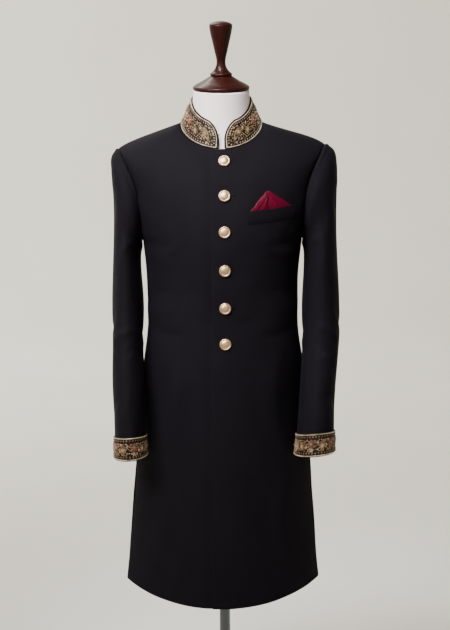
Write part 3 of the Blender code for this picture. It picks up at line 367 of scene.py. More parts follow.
# ---------------------------------------------------------------- meshes
RIM_SHARE = 0.35


def faces_of_grid(rows, columns, ring):
    """Quads of a grid of points, row by row. ring joins the last column to the first."""
    last = columns if ring else columns - 1
    row, column = np.meshgrid(np.arange(rows - 1), np.arange(last), indexing="ij")
    a = row * columns + column
    b = row * columns + (column + 1) % columns
    return np.stack([a, b, b + columns, a + columns], -1).reshape(-1, 4).astype(np.int64)


def outward(points, faces):
    """The faces turned so that their closed surfaces hold a positive volume."""
    a, b, c, d = (points[faces[:, k]] for k in range(4))
    volume = (np.cross(a, b) * c).sum() + (np.cross(a, c) * d).sum()
    return faces if volume > 0 else faces[:, ::-1]


def make_piece(name, points, faces, material, slot, uv=None):
    """A mesh object at the origin, riding on the part, from arrays of points and quads."""
    mesh = bpy.data.meshes.new(name)
    points = np.asarray(points, float).reshape(-1, 3)
    faces = outward(points, np.asarray(faces, np.int64))
    mesh.vertices.add(len(points))
    mesh.vertices.foreach_set("co", points.astype(np.float32).ravel())
    mesh.loops.add(faces.size)
    mesh.loops.foreach_set("vertex_index", faces.astype(np.int32).ravel())
    mesh.polygons.add(len(faces))
    mesh.polygons.foreach_set("loop_start", np.arange(0, faces.size, 4, dtype=np.int32))
    mesh.polygons.foreach_set("use_smooth", np.ones(len(faces), bool))
    mesh.update(calc_edges=True)
    if uv is not None:
        layer = mesh.uv_layers.new(name="cloth")
        corners = np.asarray(uv, np.float32).reshape(-1, 2)[faces.ravel()]
        layer.data.foreach_set("uv", corners.ravel())
    mesh.materials.append(material)
    obj = bpy.data.objects.new(name, mesh)
    bpy.context.scene.collection.objects.link(obj)
    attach(obj, "root")
    return obj


def shell(name, outer, inner, uv, material, slot, ring=False):
    """A thin closed cloth shell: outer face, rounded rim and inner face. The rim's middle line
    stands out along the cloth by RIM_SHARE of the thickness, so that edges read as folded."""
    rows, columns = outer.shape[:2]

    def edge_ways():
        """Unit vectors along the cloth, out of it, for each edge line."""
        yield np.s_[0], unit(outer[0] - outer[1])
        yield np.s_[-1], unit(outer[-1] - outer[-2])
        if not ring:
            yield np.s_[:, 0], unit(outer[:, 0] - outer[:, 1])
            yield np.s_[:, -1], unit(outer[:, -1] - outer[:, -2])

    ways = np.zeros_like(outer)
    for index, way in edge_ways():
        ways[index] += way
    ways = unit(ways) * (np.linalg.norm(ways, axis=-1, keepdims=True) > 0.1)
    thick = np.linalg.norm(outer - inner, axis=-1, keepdims=True)
    middle = (outer + inner) / 2 + ways * thick * RIM_SHARE
    if ring:
        loops = [np.arange(columns), (rows - 1) * columns + np.arange(columns)[::-1]]
    else:
        grid = np.arange(rows * columns).reshape(rows, columns)
        loops = [np.concatenate([grid[0, :-1], grid[:-1, -1], grid[-1, :0:-1], grid[:0:-1, 0]])]
    count = rows * columns
    points = [outer.reshape(-1, 3), inner.reshape(-1, 3)]
    uvs = [uv.reshape(-1, 2), uv.reshape(-1, 2)]
    grid_faces = faces_of_grid(rows, columns, ring)
    faces = [grid_faces, grid_faces[:, ::-1] + count]
    start = 2 * count
    for loop in loops:
        points.append(middle.reshape(-1, 3)[loop])
        uvs.append(uv.reshape(-1, 2)[loop])
        mid = start + np.arange(len(loop))
        after, mid_after = np.roll(loop, -1), np.roll(mid, -1)
        faces.append(np.stack([after, loop, mid, mid_after], -1))
        faces.append(np.stack([mid_after, mid, loop + count, after + count], -1))
        start += len(loop)
    return make_piece(
        name, np.concatenate(points), np.concatenate(faces), material, slot, np.concatenate(uvs)
    )


def smooth_line(points, per_span):
    """Cubic pieces through the points, cut per_span times between each two. The slope at a point
    runs from the point before it to the one after, and is as long as the span."""
    points = np.array(points, float)
    padded = np.concatenate([[2 * points[0] - points[1]], points, [2 * points[-1] - points[-2]]])
    ways, spans = unit(padded[2:] - padded[:-2]), np.diff(points, axis=0)
    t = (np.arange(per_span) / per_span)[:, None]
    parts = [
        a + span * (3 * t ** 2 - 2 * t ** 3)
        + np.linalg.norm(span) * (leave * (t ** 3 - 2 * t ** 2 + t) + arrive * (t ** 3 - t ** 2))
        for a, span, leave, arrive in zip(points[:-1], spans, ways[:-1], ways[1:])
    ]
    return np.concatenate([*parts, points[-1:]])


def merge_poles(obj):
    """Joins the points that meet in one place, so that the poles are closed, and turns the
    faces outwards."""
    work = bmesh.new()
    work.from_mesh(obj.data)
    bmesh.ops.remove_doubles(work, verts=work.verts, dist=1e-6)
    bmesh.ops.dissolve_degenerate(work, edges=work.edges, dist=1e-7)
    bmesh.ops.recalc_face_normals(work, faces=work.faces)
    work.to_mesh(obj.data)
    work.free()
    return obj


def turned_piece(name, profile, segments, place, material, slot, per_span=4, relief=None):
    """A closed lathe shape: a profile of (radius, height) from one pole to the other, carried
    round its own Z, with relief(radius, turn) added to its height, and put in place."""
    line = smooth_line(profile, per_span)
    line[:, 0] = np.maximum(line[:, 0], 0)
    turn = np.linspace(0, 2 * np.pi, segments, endpoint=False)
    radius, height = line[:, :1], line[:, 1:] + 0 * turn
    if relief:
        height = height + relief(radius, turn) * (height > 0.0006)
    rings = np.stack([radius * np.cos(turn), radius * np.sin(turn), height], -1)
    turned = rings.reshape(-1, 3) @ np.array(place.to_3x3()).T + np.array(place.translation)
    faces = faces_of_grid(len(line), segments, True)
    return merge_poles(make_piece(name, turned, faces, material, slot))


def stitches(face, s, h, width, height, lift=0.0, sides=6):
    """Raised thread on a band. Each row of s and h is one line on the band; an ellipse (width cos
    a, height sin a) goes along it, a from 0 to 2 pi, and flat caps close its ends. All four
    sizes may be single values, rows or whole grids. face(s, h, lift) gives the places."""
    s, h = np.atleast_2d(s), np.atleast_2d(h)
    count, length = s.shape
    ds, dh = np.gradient(s, axis=1), np.gradient(h, axis=1)
    size = np.maximum(np.hypot(ds, dh), 1e-9)
    a = np.linspace(0, 2 * np.pi, sides, endpoint=False)
    width, height, lift = (np.broadcast_to(x, s.shape)[..., None] for x in (width, height, lift))
    across = width * np.cos(a)
    points = face(
        s[..., None] - (dh / size)[..., None] * across,
        h[..., None] + (ds / size)[..., None] * across,
        lift + height * np.sin(a),
    )
    cap = np.array([[k, k + 1, sides - 2 - k, sides - 1 - k] for k in range(sides // 2 - 1)])
    one = np.concatenate(
        [faces_of_grid(length, sides, True), cap[:, ::-1], cap + (length - 1) * sides]
    )
    faces = one[None] + (np.arange(count) * length * sides)[:, None, None]
    return points.reshape(-1, 3), faces.reshape(-1, 4)


def several(*groups):
    """Groups of (points, faces) as one."""
    start, points, faces = 0, [], []
    for group_points, group_faces in groups:
        points.append(group_points)
        faces.append(group_faces + start)
        start += len(group_points)
    return np.concatenate(points), np.concatenate(faces)


def mirror(group):
    """The same shape on the wearer's other side."""
    points, faces = group
    return points * np.array([-1.0, 1.0, 1.0]), faces[:, ::-1]


# ---------------------------------------------------------------- materials
def linear(hex_colour):
    """An sRGB hex colour as linear red, green, blue and alpha."""
    value = np.array([int(hex_colour[k:k + 2], 16) for k in (1, 3, 5)]) / 255
    value = np.where(value <= 0.04045, value / 12.92, ((value + 0.055) / 1.055) ** 2.4)
    return (*value.tolist(), 1.0)


def fit(node, inputs):
    """Gives each named or numbered input of a node its value, its hex colour or the output that
    it follows."""
    for name, value in inputs.items():
        if isinstance(value, bpy.types.NodeSocket):
            node.id_data.links.new(value, node.inputs[name])
        else:
            node.inputs[name].default_value = linear(value) if isinstance(value, str) else value


def new_material(name, follows, colour, roughness, metallic=0.0, **inputs):
    """A material, its shader, and the coordinates that its pattern follows."""
    material = bpy.data.materials.new(name)
    material.use_nodes = True
    shader = material.node_tree.nodes["Principled BSDF"]
    fit(shader, {"Base Color": colour, "Roughness": roughness, "Metallic": metallic})
    fit(shader, {socket.replace("_", " "): value for socket, value in inputs.items()})
    return material, shader, add(material, "TexCoord", follows)


def add(material, kind, out, inputs=(), stops=(), **settings):
    """One node with its settings, its links and a ramp's stops, given as the output out of it."""
    node = material.node_tree.nodes.new("ShaderNode" + kind)
    for name, value in settings.items():
        setattr(node, name, value)
    fit(node, dict(inputs))
    for number, (position, colour) in enumerate(stops):
        node.color_ramp.elements[number].position = position
        node.color_ramp.elements[number].color = linear(colour)
    return node.outputs[out]


def suiting():
    """Worsted wool suiting: a fine twill of combed black yarn, pressed, with little sheen. The
    real twill line is 0.5 mm; here it is 0.9 mm, the finest that shows."""
    material, shader, place = new_material(
        "black_worsted_suiting", "UV", "#141217", 0.75,
        Sheen_Weight=0.02, Sheen_Roughness=0.4, Sheen_Tint="#a9a6c4", Specular_IOR_Level=0.05,
    )
    slant = (0, 0, math.radians(63))
    turned = add(material, "Mapping", "Vector", {"Vector": place, "Rotation": slant})
    twill = add(
        material, "TexWave", "Fac",
        {"Vector": turned, "Scale": 350.0, "Distortion": 0.6, "Detail": 1.0}, wave_type="BANDS",
    )
    yarn = add(material, "TexNoise", "Fac", {"Vector": place, "Scale": 900.0, "Detail": 3.0})
    cloud = add(
        material, "TexNoise", "Fac",
        {"Vector": place, "Scale": 9.0, "Detail": 4.0, "Roughness": 0.6},
    )
    shade = add(
        material, "Mix", 2, {"Factor": cloud, 6: "#110f14", 7: "#19171b"}, data_type="RGBA"
    )
    lined = add(
        material, "Mix", 2, {"Factor": twill, 6: shade, 7: "#c9c7d0"},
        data_type="RGBA", blend_type="MULTIPLY",
    )
    height = add(material, "Math", 0, {0: twill, 1: yarn}, operation="ADD")
    bump = add(
        material, "Bump", "Normal", {"Height": height, "Strength": 0.22, "Distance": 0.00012}
    )
    fit(shader, {"Base Color": lined, "Normal": bump})
    return material


def piping_silk():
    """Black silk cord piping: tight slanting twist, 1 mm apart, with a soft line of light."""
    material, shader, place = new_material(
        "black_silk_piping", "Object", "#070507", 0.6, Specular_IOR_Level=0.08
    )
    twist = add(material, "TexNoise", "Fac", {"Vector": place, "Scale": 800.0, "Detail": 2.0})
    tint = add(
        material, "Mix", 2, {"Factor": twist, 6: "#040304", 7: "#120f12"}, data_type="RGBA"
    )
    bump = add(
        material, "Bump", "Normal", {"Height": twist, "Strength": 0.4, "Distance": 0.0002}
    )
    fit(shader, {"Base Color": tint, "Normal": bump})
    return material


def glass_bead():
    """Small lustred glass beads: pearly, each a little darker or lighter than the next."""
    material, shader, place = new_material("pearl_glass_bead", "Object", "#bfa67a", 0.30, 0.30)
    lot = add(material, "TexNoise", "Fac", {"Vector": place, "Scale": 260.0, "Detail": 1.0})
    tint = add(material, "Mix", 2, {"Factor": lot, 6: "#8f7647", 7: "#d8c39b"}, data_type="RGBA")
    fit(shader, {"Base Color": tint})
    return material


def band_ground():
    """Raw silk ground of the embroidered bands: near black brown, with slubs across it."""
    material, shader, place = new_material(
        "band_raw_silk", "UV", "#140b06", 0.6, Specular_IOR_Level=0.2
    )
    slub = add(material, "TexNoise", "Fac", {"Vector": place, "Scale": 260.0, "Detail": 3.0})
    tint = add(
        material, "Mix", 2, {"Factor": slub, 6: "#0c0603", 7: "#1b1008"}, data_type="RGBA"
    )
    bump = add(
        material, "Bump", "Normal", {"Height": slub, "Strength": 0.5, "Distance": 0.0002}
    )
    fit(shader, {"Base Color": tint, "Normal": bump})
    return material


STRAND_PITCH = 0.0007


def thread(name, light, dark, roughness, metallic):
    """Couched metallic thread: twisted strands with patches of random wear. The colour carries a
    painted highlight on the strands' crowns and painted shade between them, from the same noise as
    their bump; six cells of the noise to ten strands."""
    material, shader, place = new_material(
        name, "Object", light, roughness, metallic, Sheen_Weight=0.1
    )
    scale = 0.6 / STRAND_PITCH
    strand = add(material, "TexNoise", "Fac", {"Vector": place, "Scale": scale, "Detail": 2.0})
    wear = add(material, "TexNoise", "Fac", {"Vector": place, "Scale": 90.0, "Detail": 2.0})
    both = add(material, "Math", 0, {0: strand, 1: wear}, operation="MULTIPLY")
    # painted shade and highlight: low strand noise (the bump's hollows) takes the darker colour,
    # the crowns the lighter one; the wear noise also darkens patches at random
    tint = add(material, "ValToRGB", "Color", {"Fac": both}, [(0.12, dark), (0.34, light)])
    bump = add(
        material, "Bump", "Normal", {"Height": strand, "Strength": 0.6, "Distance": 0.00015}
    )
    fit(shader, {"Base Color": tint, "Normal": bump})
    return material


def satin_silk():
    """Wine silk satin: long floats that shine along one way, with a finer cross rib."""
    material, shader, place = new_material(
        "wine_silk_satin", "UV", "#5c0018", 0.45,
        Sheen_Weight=0.10, Sheen_Roughness=0.3, Sheen_Tint="#ff2a56", Specular_IOR_Level=0.12,
    )
    rib = add(
        material, "TexWave", "Fac", {"Vector": place, "Scale": 420.0, "Distortion": 1.0},
        wave_type="BANDS",
    )
    cloud = add(material, "TexNoise", "Fac", {"Vector": place, "Scale": 40.0, "Detail": 2.0})
    shade = add(
        material, "Mix", 2, {"Factor": cloud, 6: "#380013", 7: "#600024"}, data_type="RGBA"
    )
    bump = add(
        material, "Bump", "Normal", {"Height": rib, "Strength": 0.15, "Distance": 0.0001}
    )
    fit(shader, {"Base Color": shade, "Normal": bump})
    return material


def rose_gold():
    """Pale rose gold plate on a die-struck brass shell, softly brushed, darker in its hollows."""
    material, shader, place = new_material("rose_gold_plate", "Object", "#dfbf9c", 0.45, 1.0)
    grain = add(material, "TexNoise", "Fac", {"Vector": place, "Scale": 1500.0, "Detail": 2.0})
    dull = add(material, "MapRange", 0, {"Value": grain, "To Min": 0.38, "To Max": 0.54})
    bump = add(
        material, "Bump", "Normal", {"Height": grain, "Strength": 0.12, "Distance": 0.0001}
    )
    fit(shader, {"Roughness": dull, "Normal": bump})
    return material


def jersey():
    """White cotton jersey, knitted, stretched tight over the form: fine ribs 1.2 mm apart."""
    material, shader, place = new_material(
        "white_cotton_jersey", "UV", "#f8edef", 0.88, Sheen_Weight=0.15
    )
    rib = add(
        material, "TexWave", "Fac", {"Vector": place, "Scale": 260.0, "Distortion": 0.8},
        wave_type="BANDS",
    )
    loop = add(material, "TexNoise", "Fac", {"Vector": place, "Scale": 700.0, "Detail": 2.0})
    height = add(material, "Math", 0, {0: rib, 1: loop}, operation="ADD")
    bump = add(
        material, "Bump", "Normal", {"Height": height, "Strength": 0.25, "Distance": 0.0002}
    )
    fit(shader, {"Normal": bump})
    return material


def stained_wood():
    """Beech turned on a lathe, stained red-brown and lacquered: fine grain along the turning
    axis under a glossy coat."""
    material, shader, place = new_material(
        "stained_beech", "Object", "#3c150d", 0.42,
        Coat_Weight=0.10, Coat_Roughness=0.14, Specular_IOR_Level=0.15,
    )
    long = add(material, "Mapping", "Vector", {"Vector": place, "Scale": (1.0, 1.0, 0.08)})
    grain = add(
        material, "TexNoise", "Fac",
        {"Vector": long, "Scale": 420.0, "Detail": 5.0, "Distortion": 0.4},
    )
    stain = add(
        material, "ValToRGB", "Color", {"Fac": grain}, [(0.34, "#150403"), (0.66, "#36110a")]
    )
    bump = add(
        material, "Bump", "Normal", {"Height": grain, "Strength": 0.06, "Distance": 0.0002}
    )
    fit(shader, {"Base Color": stain, "Normal": bump})
    return material


def steel():
    """Polished steel tube and plate, with the fine turning lines of its polishing wheel."""
    material, shader, place = new_material("polished_steel", "Object", "#6a6f74", 0.2, 1.0)
    flat = add(material, "Mapping", "Vector", {"Vector": place, "Scale": (0.2, 0.2, 1.0)})
    line = add(material, "TexNoise", "Fac", {"Vector": flat, "Scale": 900.0, "Detail": 3.0})
    dull = add(material, "MapRange", 0, {"Value": line, "To Min": 0.14, "To Max": 0.30})
    fit(shader, {"Roughness": dull})
    return material


SUITING = suiting()
PIPING = piping_silk()
GROUND = band_ground()
# each thread's second colour is the painted shade between its strands and in its worn patches
CREAM = thread("cream_zari_cord", "#b2997d", "#3e2d1d", 0.50, 0.25)
GOLD = thread("antique_gold_zari", "#8f7043", "#281a0b", 0.46, 0.45)
COPPER = thread("copper_rose_zari", "#8c5442", "#361910", 0.50, 0.30)
IVORY = thread("ivory_zari_cord", "#d2c1a8", "#6f5c44", 0.50, 0.18)
OLIVE = thread("olive_gold_thread", "#746530", "#28210a", 0.54, 0.25)
BEAD = glass_bead()
SILK = satin_silk()
PLATE = rose_gold()
JERSEY = jersey()
WOOD = stained_wood()
STEEL = steel()

# ---------------------------------------------------------------- creases
# Soft folds, each a segment on the panel: start, end, half width, height (negative is a trough).
# The fronts and the backs go by x and z of the panel, the sleeves by metres round and along.
FRONT_CREASES = (
    ((0.020, 1.398), (0.060, 1.392), 0.006, 0.0006),
    ((0.018, 1.325), (0.070, 1.318), 0.007, 0.0007),
    ((0.018, 1.248), (0.075, 1.238), 0.008, -0.0007),
    ((0.020, 1.168), (0.085, 1.178), 0.009, 0.0008),
    ((0.020, 1.090), (0.080, 1.112), 0.009, -0.0008),
    ((0.150, 1.225), (0.085, 1.275), 0.013, 0.0017),
    ((0.160, 1.205), (0.100, 1.235), 0.010, -0.0014),
    ((0.165, 1.110), (0.090, 1.140), 0.011, 0.0015),
    ((0.165, 1.130), (0.105, 1.165), 0.010, -0.0014),
    ((0.162, 1.080), (0.080, 1.065), 0.012, -0.0014),
    ((0.120, 1.035), (0.135, 0.800), 0.020, 0.0028),
    ((0.085, 0.980), (0.095, 0.560), 0.026, 0.0031),
    ((0.150, 0.860), (0.165, 0.520), 0.022, 0.0036),
    ((0.052, 0.820), (0.050, 0.480), 0.022, -0.0020),
    ((0.128, 0.780), (0.132, 0.500), 0.018, -0.0028),
    ((0.178, 1.360), (0.140, 1.300), 0.010, 0.0017),
    ((0.165, 1.320), (0.135, 1.262), 0.009, -0.0014),
)
BACK_CREASES = (
    ((0.000, 1.130), (0.120, 1.150), 0.012, 0.0019),
    ((0.020, 1.105), (0.130, 1.115), 0.010, -0.0018),
    ((0.030, 1.060), (0.150, 1.085), 0.012, 0.0018),
    ((0.070, 1.010), (0.085, 0.560), 0.026, 0.0036),
    ((0.120, 0.930), (0.140, 0.520), 0.022, -0.0030),
    ((0.160, 0.840), (0.180, 0.520), 0.020, 0.0033),
    ((0.030, 0.800), (0.035, 0.500), 0.022, -0.0024),
    ((0.170, 1.350), (0.120, 1.290), 0.012, 0.0021),
    ((0.150, 1.420), (0.110, 1.340), 0.014, -0.0015),
    ((0.010, 1.470), (0.075, 1.462), 0.010, -0.0012),
    ((0.175, 1.300), (0.150, 1.180), 0.012, -0.0014),
    ((0.165, 1.120), (0.110, 1.135), 0.010, 0.0013),
)
SLEEVE_CREASES = (
    ((-0.020, 0.350), (0.060, 0.385), 0.010, 0.0031),
    ((-0.030, 0.385), (0.050, 0.405), 0.008, -0.0027),
    ((-0.015, 0.425), (0.070, 0.420), 0.010, 0.0026),
    ((0.050, 0.300), (0.110, 0.360), 0.011, -0.0020),
    ((-0.040, 0.140), (0.020, 0.210), 0.011, 0.0020),
    ((0.000, 0.110), (0.040, 0.190), 0.010, -0.0017),
    ((0.080, 0.060), (0.085, 0.300), 0.016, 0.0017),
    ((-0.010, 0.480), (0.040, 0.560), 0.012, 0.0020),
    ((0.020, 0.500), (0.090, 0.540), 0.010, -0.0019),
    ((0.150, 0.330), (0.210, 0.370), 0.011, 0.0024),
    ((0.140, 0.380), (0.220, 0.410), 0.010, -0.0020),
    ((0.160, 0.160), (0.200, 0.240), 0.012, 0.0020),
    ((0.060, 0.046), (0.088, 0.078), 0.008, -0.0019),
    ((0.052, 0.080), (0.092, 0.108), 0.008, 0.0014),
    ((0.044, 0.118), (0.082, 0.165), 0.009, -0.0013),
    ((-0.125, 0.350), (-0.068, 0.372), 0.010, -0.0013),
    ((-0.120, 0.398), (-0.062, 0.392), 0.009, 0.0011),
)


def crease(across, along, table, shift=0.0):
    """The sum over the folds of height x exp(-(distance / half width)^2), fading at its ends.
    shift slides every fold a little, so that no two panels match."""
    total = np.zeros(np.broadcast(across, along).shape)
    for k, (start, end, half_width, height) in enumerate(table):
        sway = shift * math.sin(2.3 * k + 9 * shift)
        a, b = np.array(start) + sway, np.array(end) + sway * 0.6
        way = b - a
        length = np.hypot(*way)
        s = ((across - a[0]) * way[0] + (along - a[1]) * way[1]) / length ** 2
        bow = 0.10 * length * np.sin(np.pi * np.clip(s, 0, 1)) * (1 if k % 2 else -1)
        off = ((across - a[0]) * way[1] - (along - a[1]) * way[0]) / length + bow
        fade = smooth((s + 0.12) / 0.32) * smooth((1.12 - s) / 0.32)
        rise = height * (1 + 0.3 * math.sin(5.1 * k + 40 * shift))
        total += rise * np.exp(-((off / half_width) ** 2)) * fade
    return total


def wander(across, along, seed):
    """A faint unevenness of pressed cloth: three crossing sine waves, 60 to 140 mm long."""
    return 0.00022 * (
        np.sin(61 * across + 17 * along + seed)
        + np.sin(-38 * across + 49 * along + 2.1 * seed)
        + np.sin(90 * across - 31 * along + 0.7 * seed)
    )


EDGE_STEPS = np.array([0.0004, 0.0012, 0.0026])


def edge_lines(low, high, step):
    """Places from low to high, step apart, with closer ones beside both ends."""
    margin = EDGE_STEPS[-1] * 1.8
    inner = np.linspace(low + margin, high - margin, max(3, int((high - low) / step)))
    return np.concatenate([[low], low + EDGE_STEPS, inner, high - EDGE_STEPS[::-1], [high]])


def seam_fall(distance, depth=0.0007, width=0.0030):
    """How far cloth turns down beside a seam: depth x (1 - distance / width)^2."""
    return depth * np.clip(1 - distance / width, 0, 1) ** 2


# ---------------------------------------------------------------- the coat's panels
SHELL = 0.0016
PANEL_ROW = 0.0050
PANEL_COLUMN = 0.0048
PANEL_WIDTH = 0.20
RIGHT_SHIFT = 0.0035
HEM_DEPTH = 0.038
SLIT_EDGE_COLUMNS = 8


def slit_pull(v):
    """Half the seam gap, and below the slit's top half of its widening gap, as in the solids."""
    drop = np.clip((SLIT_TOP_ALONG - v) / SLIT_TOP_ALONG, 0, 1)
    return SEAM_GAP / 2 + SLIT_GAP / 2 * drop ** 0.7


def panel(name, side, mirrored):
    """One quarter of the coat's body as a shell. Rows run up the panel and columns across it."""
    v = edge_lines(0.0, TOP_ALONG, PANEL_ROW)[:, None]
    across = edge_lines(0.0, PANEL_WIDTH, PANEL_COLUMN)[1:] / PANEL_WIDTH
    centre_u = np.zeros_like(v)
    if side == "front":
        width = body("front", SMALL, v)[..., 0] / SMALL
        stand = -np.concatenate([[1.0, 0.982, 0.945, 0.88], np.linspace(0.72, 0.0, 5)])
        centre_u = stand * BUTTON_STAND / width
    u = np.concatenate([centre_u, np.tile(across, (len(v), 1))], 1)
    v = np.broadcast_to(v, u.shape)
    face = body(side, u, v)
    normal = body_normal(side, np.clip(u, -0.999, 0.9995), np.clip(v, SMALL, TOP_ALONG - SMALL))
    x, z = face[..., 0], face[..., 2]
    near_top = smooth((TOP_ALONG - v) / 0.06)
    if side == "front":
        out = front_relief(x, z, mirrored) * near_top
    else:
        shift, seed = (RIGHT_SHIFT, 6.3) if mirrored else (0.0, 4.1)
        out = (crease(x, z, BACK_CREASES, shift) + wander(x, z, seed)) * near_top
    width_here = np.abs(face[:, -1:, 0] - face[:, :1, 0])
    from_side = (1 - u) * width_here
    slit_open = smooth((SLIT_TOP_ALONG - v) / 0.02)
    out = out - seam_fall(from_side, 0.0007 * (1 - 0.6 * slit_open))
    out = out - seam_fall(TOP_ALONG - v)
    out = out - seam_fall(v, 0.0004)
    out = out + hem_press(v)
    if side == "front":
        out = out - seam_fall(x + BUTTON_STAND, 0.0005)
        if mirrored:
            start, end = UNDERLAP_EASE
            out = out - OVERLAP_DROP * smooth((start - x) / (start - end))
    else:
        out = out - seam_fall(np.abs(x))
    outer = face + normal * out[..., None]
    if side == "front":
        drop = STAND_TOP_DROP * smooth(1 - (TOP_ALONG - v) / 0.004)
        outer[..., 2] -= np.where(u < 0, drop, 0)
    pull_edges(outer, v, side)
    inner = outer - normal * SHELL
    uv = np.stack([x, v], -1)
    if mirrored:
        outer[..., 0] *= -1
        inner[..., 0] *= -1
    return shell(name, settle(outer, True), settle(inner, True), uv, SUITING, "black_wool")


def front_relief(x, z, mirrored=False):
    """How far a front's cloth stands off its pressed shape: folds and unevenness, and on the
    wearer's left the closing's folds and the dip at the pocket's mouth."""
    if mirrored:
        return crease(x, z, FRONT_CREASES, RIGHT_SHIFT) + wander(x, z, 3.5)
    return crease(x, z, FRONT_CREASES) + wander(x, z, 1.3) + closing_folds(x, z) - under_welt(x, z)


def pull_edges(outer, v, side):
    """Draws the seam edges back by half the gap, and opens the side slit."""
    pull = slit_pull(v[:, 0])[:, None]
    near = SLIT_EDGE_COLUMNS
    reach = np.linalg.norm(outer[:, -near:] - outer[:, -1:], axis=-1)
    share = smooth(1 - reach / 0.035)[..., None]
    way = unit(outer[:, -near - 1:-near] - outer[:, -1:])
    outer[:, -near:] += way * pull[..., None] * share
    outer[-1] += unit(outer[-2] - outer[-1]) * SEAM_GAP / 2
    if side == "back":
        outer[:, 0] += unit(outer[:, 1] - outer[:, 0]) * SEAM_GAP / 2


def hem_press(v):
    """The hem's turning, 38 mm deep: a faint ridge where its upper edge presses through."""
    ridge = 0.00030 * np.exp(-(((v - HEM_DEPTH) / 0.0028) ** 2))
    return ridge + 0.00025 * smooth((HEM_DEPTH + 0.002 - v) / 0.006)


def closing_folds(x, z):
    """The left front beside its buttons: it is drawn down at each button and lifts between."""
    total = np.zeros_like(x)
    for k, height in enumerate(BUTTON_HEIGHTS):
        drawn = np.exp(-(((z - height) / 0.016) ** 2))
        reach = np.exp(-(((x - BUTTON_X) / 0.030) ** 2))
        total -= 0.0005 * drawn * reach
        if k:
            middle = (height + BUTTON_HEIGHTS[k - 1]) / 2
            lift = np.exp(-(((z - middle) / 0.020) ** 2)) * smooth((0.014 - x) / 0.034)
            total += 0.0006 * lift
    return total


def under_welt(x, z):
    """The cloth dips a little along the pocket's mouth."""
    rise = math.tan(math.radians(WELT_RISE_DEG))
    mouth = WELT_LOW_INNER[1] + WELT_HEIGHT + (x - WELT_LOW_INNER[0]) * rise
    inside = smooth((x - POCKET_SPAN[0]) / 0.01) * smooth((POCKET_SPAN[1] - x) / 0.01)
    return 0.0006 * inside * np.exp(-(((z - mouth) / 0.009) ** 2))


SLEEVE_SEAMS = (-math.pi / 4, math.pi * 5 / 4)
SLEEVE_ROUND = 0.062
SLEEVE_COLUMN = 0.0046
SLEEVE_ROW = 0.0048
SLEEVE_SHIFT = 0.006
HEAD_ROLL = 0.0024
HEAD_ROLL_ALONG = 0.0075


def sleeve_shell(name, hand, first, last):
    """A sleeve panel between two turns. Rows run down the sleeve and columns round it."""
    round_it = edge_lines(first * SLEEVE_ROUND, last * SLEEVE_ROUND, SLEEVE_COLUMN)
    turn, along = np.meshgrid(round_it / SLEEVE_ROUND, edge_lines(0.0, WRIST_ALONG, SLEEVE_ROW))
    face = sleeve(turn, along, hand)
    normal = sleeve_normal(turn, along, hand)
    shift = 0.0 if hand == "left" else SLEEVE_SHIFT
    around = turn * SLEEVE_ROUND
    away = smooth((along - 0.012) / 0.03) * smooth((WRIST_ALONG - 0.004 - along) / 0.05)
    relief = crease(around, along, SLEEVE_CREASES, shift)
    out = (relief + wander(around, along, 3.3 + 60 * shift)) * away
    upper = smooth((np.sin(turn) + 0.35) / 0.7)
    out = out + HEAD_ROLL * upper * np.exp(-(((along - HEAD_ROLL_ALONG) / 0.0050) ** 2))
    out = out - seam_fall(along, 0.0014, 0.0034)
    out = out - seam_fall((turn - first) * SLEEVE_ROUND)
    out = out - seam_fall((last - turn) * SLEEVE_ROUND)
    under_cuff = smooth((along - (WRIST_ALONG - CUFF_HEIGHT)) / 0.002)
    out = out * (1 - under_cuff) - 0.0003 * under_cuff
    outer = face + normal * out[..., None]
    outer[:, 0] += unit(outer[:, 1] - outer[:, 0]) * SEAM_GAP / 2
    outer[:, -1] += unit(outer[:, -2] - outer[:, -1]) * SEAM_GAP / 2
    outer[0] += unit(outer[1] - outer[0]) * SEAM_GAP / 2
    inner = outer - normal * SHELL
    uv = np.stack([around, along], -1)
    if hand == "right":
        outer[..., 0] *= -1
        inner[..., 0] *= -1
    return shell(name, settle(outer), settle(inner), uv, SUITING, "black_wool")


coat = {}
for name, side, mirrored in (
    ("front_left", "front", False),
    ("front_right", "front", True),
    ("back_left", "back", False),
    ("back_right", "back", True),
):
    coat[name] = panel(name + "_cloth", side, mirrored)
    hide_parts(name)
for hand in ("left", "right"):
    first, last = SLEEVE_SEAMS
    for part, span in (("top", (first, last)), ("under", (last - 2 * math.pi, first))):
        name = f"{part}_sleeve_{hand}"
        coat[name] = sleeve_shell(name + "_cloth", hand, *span)
        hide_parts(name)


# ---------------------------------------------------------------- the places of the bands
COLLAR_DEEP = 0.055
CUFF_CLOTH = 0.0018
CUFF_FLARE = 0.0012
CUFF_OVERHANG = 0.0010
TURNS = np.linspace(0, np.pi, 721)


def arc_lengths(ring):
    """Lengths along a line of points, from its first point."""
    return np.concatenate([[0.0], np.cumsum(np.linalg.norm(np.diff(ring, axis=0), axis=-1))])


COLLAR_ARC = arc_lengths(collar(TURNS, 0.5 + 0 * TURNS))
COLLAR_LENGTH = COLLAR_ARC[-1]


def collar_face(s, h, lift):
    """A place on the collar's left half: s metres from the centre front, h metres above the
    neck seam, lift metres off its outer face."""
    turn = np.interp(s, COLLAR_ARC, TURNS)
    turn, level = np.broadcast_arrays(turn, h / COLLAR_DEEP)
    return collar(turn, level) + collar_normal(turn, level) * (lift + 0 * turn)[..., None]


def collar_end(h):
    """s of the collar's front end at height h: upright, then an ellipse's quarter."""
    start = math.asin(COLLAR_END_X / NECK_HALF_WIDTH)
    corner = math.asin((COLLAR_END_X + COLLAR_ROUNDING) / COLLAR_TOP_HALF_WIDTH)
    over = np.clip((h / COLLAR_DEEP - COLLAR_CORNER_START) / (1 - COLLAR_CORNER_START), 0, 1)
    turn = start + (corner - start) * (1 - np.sqrt(1 - 0.97 * over ** 2))
    return np.interp(turn, TURNS, COLLAR_ARC)


